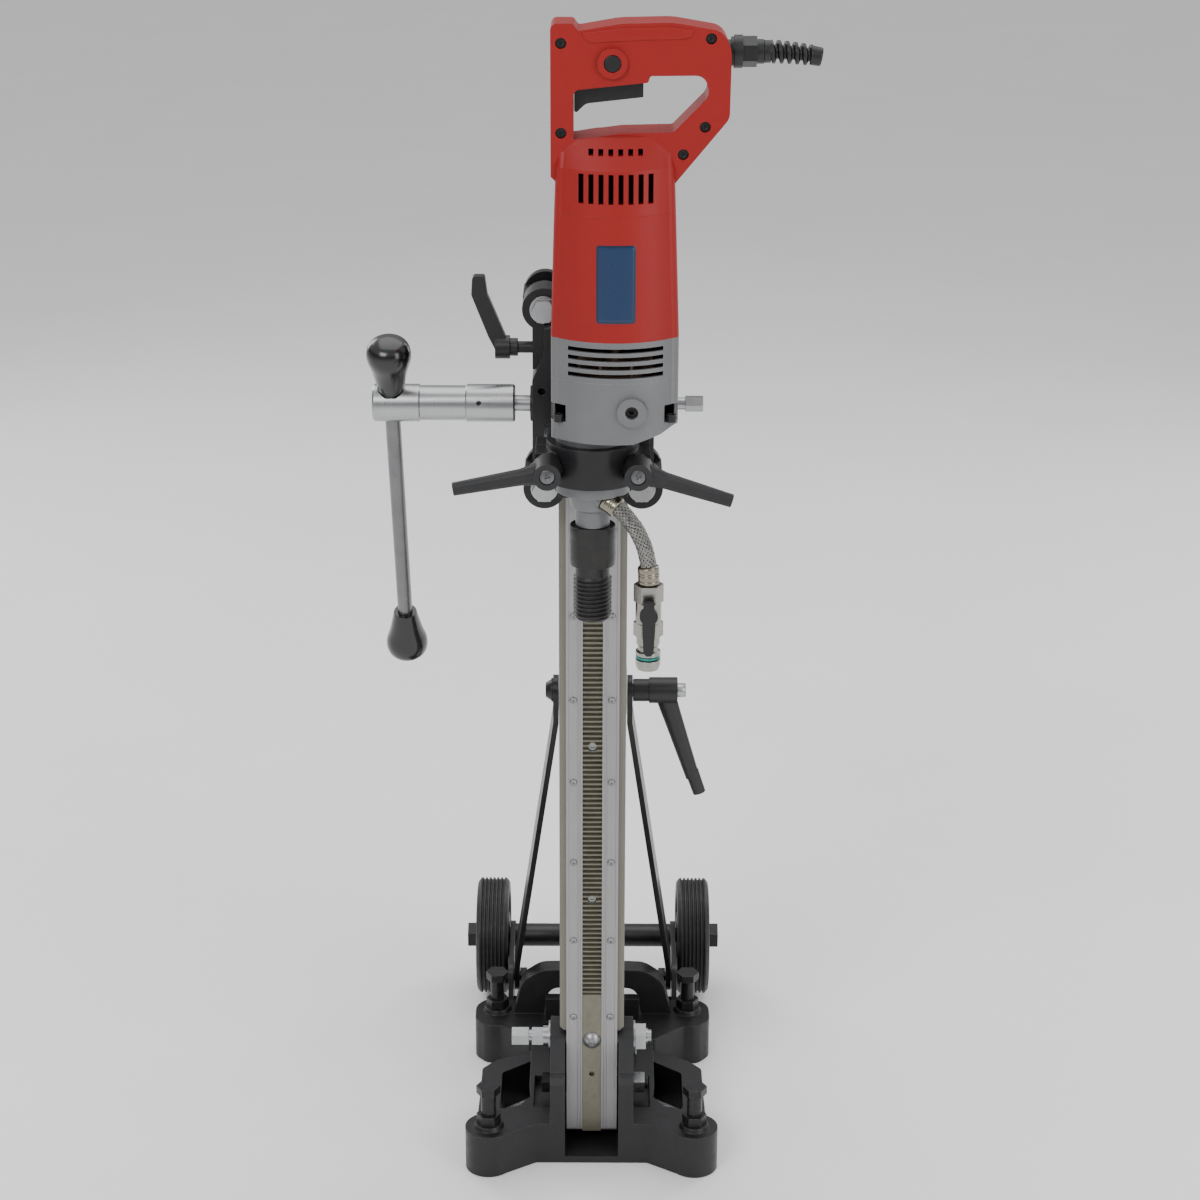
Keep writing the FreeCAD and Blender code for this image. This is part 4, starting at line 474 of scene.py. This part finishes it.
NODE_MAT = {
    "base_frame": "cast_black", "leveling_screw_fl": "black_oxide", "leveling_screw_fr": "black_oxide", "leveling_screw_rl": "black_oxide",
    "leveling_screw_rr": "black_oxide", "leveling_jam_nuts": "black_oxide", "wheel_brackets": "brace_black", "wheel_axle": "brace_black",
    "hex_bolts": "black_oxide", "wheel_right": "rubber", "wheel_left": "rubber", "brace_struts": "brace_black", "brace_screw": "black_oxide",
    "brace_lever": "lever_black", "brace_slider": "cast_black_fine", "column_extrusion": "column_alu", "rail_strips": "rail_alu",
    "gear_rack": "rack_steel", "column_screws": "zinc", "column_cap": "black_plastic", "tilt_pivot_pin": "zinc", "tilt_lock_bolt": "black_oxide",
    "tilt_nuts": "zinc", "carriage_body": "cast_black_fine", "roller_bolts": "zinc", "guide_roller_tl": "black_plastic",
    "guide_roller_tr": "black_plastic", "guide_roller_ll": "black_plastic", "guide_roller_lr": "black_plastic", "clamp_front_jaw": "cast_black_fine",
    "clamp_studs": "zinc", "clamp_lever_right": "lever_black", "clamp_lever_left": "lever_black", "carriage_lock_lever": "lever_black",
    "feed_shaft": "steel_ground", "crank_hub": "hub_turned", "crank_rod": "bar_steel", "crank_knobs": "knob", "gear_housing": "grey_cast",
    "gearbox_plug": "black_oxide", "vent_ring": "grey_cast", "motor_housing": "red", "handle_front": "red", "handle_rear": "red",
    "body_screws": "black_oxide", "trigger": "black_plastic", "lock_button": "black_plastic", "cable_gland": "black_plastic",
    "bend_protector": "black_plastic", "motor_stator": "copper_iron", "armature": "copper_iron", "layshaft": "steel_ground",
    "spindle": "steel_ground", "core_adapter": "phosphate", "hose": "braid", "hose_ferrules": "ferrule", "water_swivel": "grey_cast",
    "valve_body": "nickel", "valve_nipple": "nickel", "valve_lever": "black_plastic",
}


def paint(o, key):
    o.data.materials.clear()
    o.data.materials.append(M[key])


for name, key in NODE_MAT.items():
    o = nodes[name]
    paint(o, key)


def piece(o, mat, body, replaces=()):
    paint(o, mat)
    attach(o, body)
    if replaces:
        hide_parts(*replaces)
    return o


# ------------------------------------------------------------------ hose, braid and ferrules
ROUTE = [(0.0080, -0.1340, 0.6940), (0.0196, -0.1394, 0.6878), (0.0296, -0.1441, 0.6788), (0.0375, -0.1478, 0.6676),
         (0.0429, -0.1503, 0.6548), (0.0456, -0.1515, 0.6409), (0.0456, -0.1515, 0.6267)]


def nurbs(name, pts):
    cu = bpy.data.curves.new(name, "CURVE")
    cu.dimensions = "3D"
    sp = cu.splines.new("NURBS")
    sp.points.add(len(pts) - 1)
    for p, q in zip(sp.points, pts):
        p.co = (q[0], q[1], q[2], 1)
    sp.order_u = 3
    sp.use_endpoint_u = True
    sp.resolution_u = 16
    cu.resolution_u = 16
    o = bpy.data.objects.new(name, cu)
    scene.collection.objects.link(o)
    return o


guide = nurbs("hose_line", ROUTE)
bpy.context.view_layer.update()
gm = bpy.data.meshes.new_from_object(guide.evaluated_get(bpy.context.evaluated_depsgraph_get()))
line_pts = [Vector(v.co) * 1000 for v in gm.vertices]
if (line_pts[0] - Vector(ROUTE[0]) * 1000).length > (line_pts[-1] - Vector(ROUTE[0]) * 1000).length:
    line_pts.reverse()
bpy.data.meshes.remove(gm)
hose = Path(line_pts)
guide.data.bevel_depth = 0.0064
guide.data.bevel_resolution = 10
guide.data.use_fill_caps = True
guide.name = "hose_core"


def braid_mesh(name, path, s0, s1, R, count, turns, width, lift):
    bm = bmesh.new()
    uv = bm.loops.layers.uv.new("wires")
    n = 150
    for sign in (1, -1):
        for c in range(count):
            a0 = 2 * math.pi * c / count
            rows = []
            for i in range(n + 1):
                t = i / n
                s = s0 + (s1 - s0) * t
                a = a0 + sign * 2 * math.pi * turns * t
                # where this ribbon crosses the others, two over and two under
                ph = (2 * a * count / (2 * math.pi)) if sign > 0 else (-2 * a * count / (2 * math.pi))
                cross = 2 * turns * t * count
                w = math.sin(math.pi * (cross / 2.0) + (math.pi / 2) * c + (0 if sign > 0 else math.pi))
                r0 = R + lift * max(-1, min(1, 1.6 * w))
                row = []
                da = width / 2 / R
                for q, k in ((-1, -0.10), (-0.5, 0.03), (0, 0.07), (0.5, 0.03), (1, -0.10)):
                    row.append((bm.verts.new(path.point(s, a + da * q * 0.72, r0 + k)), (q + 1) / 2, t * 30))
                rows.append(row)
            for p, q in zip(rows, rows[1:]):
                for k in range(4):
                    f = bm.faces.new((p[k][0], p[k + 1][0], q[k + 1][0], q[k][0]))
                    for lp, src in zip(f.loops, (p[k], p[k + 1], q[k + 1], q[k])):
                        lp[uv].uv = (src[1] * 6.2832, src[2])
    bmesh.ops.solidify(bm, geom=bm.faces[:], thickness=0.12)
    bmesh.ops.recalc_face_normals(bm, faces=bm.faces)
    bmesh.ops.scale(bm, vec=(K, K, K), verts=bm.verts)
    me = bpy.data.meshes.new(name)
    bm.to_mesh(me)
    bm.free()
    me.polygons.foreach_set("use_smooth", [True] * len(me.polygons))
    return link(name, me)


HL = hose.length
braid = braid_mesh("hose_braid", hose, 14.0, HL - 14.0, 6.55, 12, 1.25, 3.1, 0.16)


def ferrule_r(s, lo, hi, flip):
    t = (s - lo) / (hi - lo)
    if flip:
        t = 1 - t
    r = 8.75
    if t < 0.06:
        r = 8.75 - 0.9 * (1 - t / 0.06) ** 2
    if t > 0.90:
        r = 8.75 - 1.5 * ((t - 0.90) / 0.10) ** 2
    for c in (0.22, 0.52, 0.66):
        r -= 0.28 * math.exp(-((t - c) / 0.025) ** 2)
    return r


f1 = swept("hose_ferrule_top", hose, 2.7, 15.5, 0.22, 64, lambda s, a: ferrule_r(s, 2.7, 15.5, False), sharp=50)
f2 = swept("hose_ferrule_low", hose, HL - 15.3, HL - 0.1, 0.22, 64, lambda s, a: ferrule_r(s, HL - 15.3, HL - 0.1, True), sharp=50)
paint(guide, "black_oxide")
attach(guide, "carriage")
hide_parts("hose")
piece(braid, "braid", "carriage")
piece(f1, "ferrule", "carriage", ("hose_ferrules",))
piece(f2, "ferrule", "carriage")

# O-ring on the quick coupling nipple, valve lever screw
vx, vy = 45.6, -151.5
bm = bmesh.new()
n1, n2 = 64, 16
ring = [[bm.verts.new(Vector((vx + (9.0 + 1.15 * math.cos(2 * math.pi * j / n2)) * math.cos(2 * math.pi * i / n1),
                              vy + (9.0 + 1.15 * math.cos(2 * math.pi * j / n2)) * math.sin(2 * math.pi * i / n1),
                              563.5 + 1.15 * math.sin(2 * math.pi * j / n2)))) for j in range(n2)] for i in range(n1)]
for i in range(n1):
    for j in range(n2):
        bm.faces.new((ring[i][j], ring[(i + 1) % n1][j], ring[(i + 1) % n1][(j + 1) % n2], ring[i][(j + 1) % n2]))
oring = finish_mesh(bm, "nipple_o_ring", 80)
piece(oring, "teal", "carriage")


def cross_screw(name, base, out, r, h, slot_w, depth, spin=0.0):
    prof = [(0, -0.6), (r * 0.96, -0.6), (r, 0.0), (r, h * 0.30)]
    for k in range(1, 9):
        t = k / 8.0 * math.pi / 2
        prof.append((r * math.cos(t) * 0.98 if k < 8 else 0.0, h * 0.30 + h * 0.70 * math.sin(t)))
    o = lathe(name, prof, base, out, 56, 40)
    x, y, a = basis(out)
    bmc = bmesh.new()
    for k in range(2):
        ang = spin + k * math.pi / 2
        d = x * math.cos(ang) + y * math.sin(ang)
        e = a.cross(d)
        L_ = r * 0.56
        vs = []
        for top in (0, 1):
            s_ = 1.0 if top else 0.35
            for q, w in ((-1, -1), (1, -1), (1, 1), (-1, 1)):
                z = h + 0.5 if top else h - depth
                vs.append(bmc.verts.new(Vector(base) + a * z + d * (q * L_ * s_) + e * (w * slot_w / 2 * (1 if top else 0.6))))
        for f in ((3, 2, 1, 0), (4, 5, 6, 7), (0, 1, 5, 4), (1, 2, 6, 5), (2, 3, 7, 6), (3, 0, 4, 7)):
            bmc.faces.new([vs[i] for i in f])
        cutter = finish_mesh(bmc, name + "_cutter%d" % k)
        boolean(o, cutter)
        bmc = bmesh.new()
    bmc.free()
    return o


piece(cross_screw("valve_lever_screw", (vx, vy - 19.0, 605), (0, -1, 0), 3.1, 1.1, 0.9, 0.9, 0.3), "zinc", "valve_handle")
piece(cross_screw("clamp_screw_right", (36, -169.9, 722.5), (0, -1, 0), 6.1, 1.45, 1.5, 1.3, 0.55), "screw_grey", "clamp_r")
piece(cross_screw("clamp_screw_left", (-36, -169.9, 722.5), (0, -1, 0), 6.1, 1.45, 1.5, 1.3, 0.25), "screw_grey", "clamp_l")

# ------------------------------------------------------------------ core adapter with its thread
PITCH = 25.4 / 7.0


def thread_r(s, a):
    # height above the adapter's lowest face is s
    z = 585.6 + s
    t = ((z / PITCH - a / (2 * math.pi)) % 1.0)
    top, bottom = 15.82, 14.25
    if t < 0.30:
        r = top
    elif t < 0.56:
        r = top + (bottom - top) * (t - 0.30) / 0.26
    elif t < 0.74:
        r = bottom
    else:
        r = bottom + (top - bottom) * (t - 0.74) / 0.26
    fade = min(1.0, max(0.0, (s - 0.2) / 2.6))
    r = 13.7 + (r - 13.7) * fade if s < 2.8 else r
    end = max(0.0, min(1.0, (s - 36.2) / 2.0))
    return r * (1 - end) + 14.2 * end


th = swept("adapter_thread", line((0, -120, 585.6), (0, -120, 625.6)), 0.0, 39.0, 0.30, 96, thread_r, lead=PITCH, sharp=28)
prof = [(6.0, 620), (14.2, 620), (14.2, 631.4), (14.6, 632.0), (17.2, 632.2), (18.5, 633.0), (19.0, 634.0), (19.0, 640), (19.0, 650), (19.0, 660), (19.0, 665.3),
        (18.7, 666.1), (18.2, 666.5), (14.3, 666.5), (13.9, 666.1), (13.9, 660.0), (12.1, 660.0), (12.1, 654.0), (6.0, 654.0), (6.0, 620)]
bm = bmesh.new()
lathe_into(bm, prof, (0, -120, 0), (0, 0, 1), 160)
for v in bm.verts:
    if abs(v.co.y + 120) > 14.4 and math.hypot(v.co.x, v.co.y + 120) > 14.5:
        v.co.y = -120 + math.copysign(14.4, v.co.y + 120)
barrel = finish_mesh(bm, "adapter_barrel", 30)
th_o = piece(th, "phosphate", "spindle_set", ("core_adapter",))
piece(barrel, "phosphate", "spindle_set")

# ------------------------------------------------------------------ spiral bend protector on the cable gland
pts = []
for i in range(41):
    x = 130.0 + 44.0 * i / 40
    pts.append(Vector((x, -120, 1048 - 0.0021 * (x - 130.0) ** 2)))
bp = Path(pts)
BL = bp.length


def spiral_r(s, a):
    t = s / BL
    outer = 9.25 - 1.5 * t
    core = 5.4 - 0.7 * t
    if s < 5.0 or s > BL - 8.0:
        e = 0.0
        if s > BL - 1.2:
            e = (s - BL + 1.2) / 1.2
        return outer - 0.6 - 0.7 * e * e
    ph = (s / 6.2 - a / (2 * math.pi)) % 1.0
    w = 0.5 + 0.5 * math.cos(2 * math.pi * (ph - 0.5))
    k = 1 / (1 + math.exp(-11 * (w - 0.42)))
    return core + (outer - core) * k


spiral = swept("bend_protector_spiral", bp, 0.0, BL, 0.42, 64, spiral_r, lead=6.2, sharp=50)
piece(spiral, "black_plastic", "carriage", ("bend_protector",))
p_, t_, n_, b2_ = bp.at(BL)
mouth = lathe("bend_protector_mouth", [(0.0, -0.5), (4.2, -0.5), (4.2, 0.06), (6.4, 0.10), (6.9, -0.25), (6.9, -0.6)], p_, t_, 48, 60)
piece(mouth, "dark_hole", "carriage")


# ------------------------------------------------------------------ blank label on the motor's crown
def crown_y(x, z):
    f = (z - 830.0) / (928.5 - 830.0)
    l = -32.7 + (-29.9 + 32.7) * f
    r = 67.0 + (63.4 - 67.0) * f
    sd = 22.0 - f
    h = 45.0 - 3.0 * f
    c, ew = (l + r) / 2, (r - l) / 2
    R = (ew * ew + (h - sd) ** 2) / (2 * (h - sd))
    return -120 - (h - R + math.sqrt(R * R - (x - c) ** 2))


def crown_patch(name, x0, x1, z0, z1, rad, lift, n=28, m=44):
    bm = bmesh.new()
    cx, cz, hx, hz = (x0 + x1) / 2, (z0 + z1) / 2, (x1 - x0) / 2, (z1 - z0) / 2

    def warp(u, v):
        # square grid to rounded rectangle: pull the corners in
        x, z = u * hx, v * hz
        ax, az = abs(x) - (hx - rad), abs(z) - (hz - rad)
        if ax > 0 and az > 0:
            m_ = max(ax, az)
            d = math.hypot(ax, az)
            k = m_ / d
            x = math.copysign(hx - rad + ax * k, x)
            z = math.copysign(hz - rad + az * k, z)
        return cx + x, cz + z

    def us(n_):
        return [-1 + 2 * i / n_ for i in range(n_ + 1)]
    rows = []
    for v in us(m):
        row = []
        for u in us(n):
            x, z = warp(u, v)
            edge = max(abs(u), abs(v)) > 0.999
            row.append(bm.verts.new((x, crown_y(x, z) - (0.02 if edge else lift), z)))
        rows.append(row)
    for p, q in zip(rows, rows[1:]):
        for k in range(n):
            bm.faces.new((p[k], p[k + 1], q[k + 1], q[k]))
    back = {}
    for v in list(bm.verts):
        back[v] = bm.verts.new(v.co + Vector((0, 0.5, 0)))
    for f in list(bm.faces):
        bm.faces.new([back[v] for v in reversed(f.verts)])
    for e in [e for e in bm.edges if len(e.link_faces) == 1 and e.verts[0] in back and e.verts[1] in back]:
        a, b = e.verts
        bm.faces.new((a, b, back[b], back[a]))
    return finish_mesh(bm, name, 40)


piece(crown_patch("label_border", 2.4, 33.0, 845.4, 906.6, 2.2, 0.22), "label_edge", "carriage")
piece(crown_patch("label_field", 3.3, 32.1, 846.3, 905.7, 1.7, 0.36), "label", "carriage")

# ------------------------------------------------------------------ raised grip pads on both handle shells
pad_pts = [(-9.5, 1064.2, 1.5), (-7.5, 1060.0, 3), (-2.0, 1056.6, 4), (38, 1059.0, 30), (68, 1059.6, 6), (74.5, 1062.0, 3), (75.5, 1066.6, 1.5), (60, 1068.8, 20), (20, 1067.9, 20)]
piece(plate("grip_pad_front", pad_pts, (0, -139, 0), (1, 0, 0), (0, 0, 1), (0, -1, 0), -0.4, 0.9, 0.6, steps=3), "red", "carriage")
piece(plate("grip_pad_rear", pad_pts, (0, -101, 0), (1, 0, 0), (0, 0, 1), (0, 1, 0), -0.4, 0.9, 0.6, steps=3), "red", "carriage")


# ------------------------------------------------------------------ crank knobs: smooth turned profiles, and the column's screws
def chaikin(pts, n=3):
    for _ in range(n):
        out = [pts[0]]
        for a, b in zip(pts, pts[1:]):
            out.append((a[0] * 0.75 + b[0] * 0.25, a[1] * 0.75 + b[1] * 0.25))
            out.append((a[0] * 0.25 + b[0] * 0.75, a[1] * 0.25 + b[1] * 0.75))
        out.append(pts[-1])
        pts = out
    return pts


lean_a = math.radians(21)
bd = Vector((0, math.sin(lean_a), -math.cos(lean_a)))
bc = Vector((-170, -17.1, 739))
kp = [(6.6, 0.0), (10.2, 0.0), (10.55, 1.2), (11.0, 3.2), (14.9, 21.8), (18.45, 32.2), (18.95, 38.5), (17.7, 44.7), (13.9, 49.4), (8.0, 51.6), (0.0, 51.95)]
bm = bmesh.new()
for c_, d_ in ((bc - bd * 12.5, -bd), (bc + bd * 236, bd)):
    sm = kp[:2] + chaikin(kp[2:], 3)
    lathe_into(bm, [(6.55, 6.0)] + sm, c_, d_, 96)
piece(finish_mesh(bm, "crank_knobs_turned", 40), "knob", "crank_bar", ("crank_knobs",))
bm = bmesh.new()
button = [(0.0, 0.55), (1.3, 0.55), (1.3, 1.9), (1.5, 2.0), (1.95, 1.93), (2.45, 1.66), (2.9, 1.15), (3.2, 0.5), (3.3, 0.0), (2.0, 0.0), (2.0, -8.0), (0.0, -8.0)]
for i in range(10):
    for sx in (-1, 1):
        lathe_into(bm, button, (sx * 17.1, 0, 140 + 80 * i), (0, -1, 0), 40)
cap_head = [(0.0, 1.1), (2.0, 1.1), (2.0, 2.3), (2.2, 2.5), (3.6, 2.5), (4.0, 2.1), (4.0, 0.0), (2.5, 0.0), (2.5, -8.0), (0.0, -8.0)]
for z in (262, 414, 566, 718, 870):
    lathe_into(bm, cap_head, (0, 5.5, z), (0, -1, 0), 48)
dome_ = [(0.0, 2.6), (2.5, 2.6), (2.5, 4.6), (2.75, 4.82)]
for k in range(1, 9):
    t = math.radians(16 + k * 5.4)
    dome_.append((10.0 * math.sin(t), -5.0 + 10.0 * math.cos(t)))
dome_ += [(8.6, 0.05), (4.0, 0.0), (4.0, -13.0), (0.0, -13.0)]
lathe_into(bm, dome_, (0, 0, 115), (0, -1, 0), 64)
piece(finish_mesh(bm, "column_screws_turned", 32), "screw_bright", "column", ("column_screws",))

# tilt pointer under the right washer, metal end in the brace lever
piece(plate("tilt_pointer", [(-6, -2, 2), (-9, -14, 1), (-4.5, -30, 0.4), (-1.5, -14, 1), (6, -2, 2), (5, 7, 2), (-5, 7, 2)], (41.05, 30, 102), (0, 1, 0), (0, 0, 1), (1, 0, 0), 0.0, 1.1, 0.2), "zinc", "column")
piece(lathe("brace_lever_insert", [(0, 0), (6.45, 0), (6.45, 6.6), (5.9, 7.45), (2.9, 7.55), (2.7, 6.2), (0, 6.2)], (77.5, 75, 439), (1, 0, 0), 56), "zinc", "brace_clamp")

# ------------------------------------------------------------------ shading of the carried-over parts
for name, o in nodes.items():
    me = o.data
    me.polygons.foreach_set("use_smooth", [True] * len(me.polygons))
    me.set_sharp_from_angle(angle=math.radians(28))
    me.update()

# ------------------------------------------------------------------ floor and light
fm = surface("floor", (0.88, 0.88, 0.875), 0.55, 0.0, 0.015, 300, 1.5, 0.02, 0.04, radius=0.1)
bm = bmesh.new()
bmesh.ops.create_grid(bm, x_segments=8, y_segments=8, size=30.0)
me = bpy.data.meshes.new("floor")
bm.to_mesh(me)
bm.free()
floor = link("floor", me)
floor.location = (0, 2.0, -0.0006)
floor.data.materials.append(fm)


def area(name, loc, aim, size, power, color=(1, 1, 1)):
    d = bpy.data.lights.new(name, "AREA")
    d.shape = "RECTANGLE"
    d.size, d.size_y = size
    d.energy = power
    d.color = color
    o = bpy.data.objects.new(name, d)
    scene.collection.objects.link(o)
    o.location = loc
    o.rotation_euler = (Vector(aim) - Vector(loc)).to_track_quat("-Z", "Y").to_euler()
    return o


area("key", (-1.5, -2.6, 2.7), (0, 0, 0.5), (1.6, 1.6), 62)
area("fill", (2.3, -2.0, 1.6), (0, 0, 0.5), (1.4, 2.2), 40)
area("top", (0.1, 0.6, 3.2), (0, 0, 0.4), (2.4, 2.4), 30)
area("rim", (-1.6, 1.9, 1.7), (0, 0, 0.6), (0.9, 1.9), 24)
area("rim_r", (1.8, 1.7, 1.5), (0, 0, 0.6), (0.8, 1.8), 20)
world = bpy.data.worlds.new("studio")
scene.world = world
world.use_nodes = True
bg = world.node_tree.nodes["Background"]
bg.inputs["Strength"].default_value = 0.85
wt = world.node_tree
wc = wt.nodes.new("ShaderNodeTexCoord")
ws = wt.nodes.new("ShaderNodeSeparateXYZ")
wt.links.new(wc.outputs["Generated"], ws.inputs[0])
wr_ = wt.nodes.new("ShaderNodeValToRGB")
ramp = wr_.color_ramp
ramp.elements[0].position = 0.0
ramp.elements[0].color = (0.62, 0.62, 0.63, 1)
ramp.elements[1].position = 1.0
ramp.elements[1].color = (0.85, 0.86, 0.88, 1)
for pos_, val in ((0.06, 0.50), (0.13, 0.20), (0.24, 0.22), (0.38, 0.72), (0.60, 0.92)):
    e_ = ramp.elements.new(pos_)
    e_.color = (val, val, val * 1.02, 1)
wt.links.new(ws.outputs["Z"], wr_.inputs["Fac"])
wt.links.new(wr_.outputs["Color"], bg.inputs["Color"])
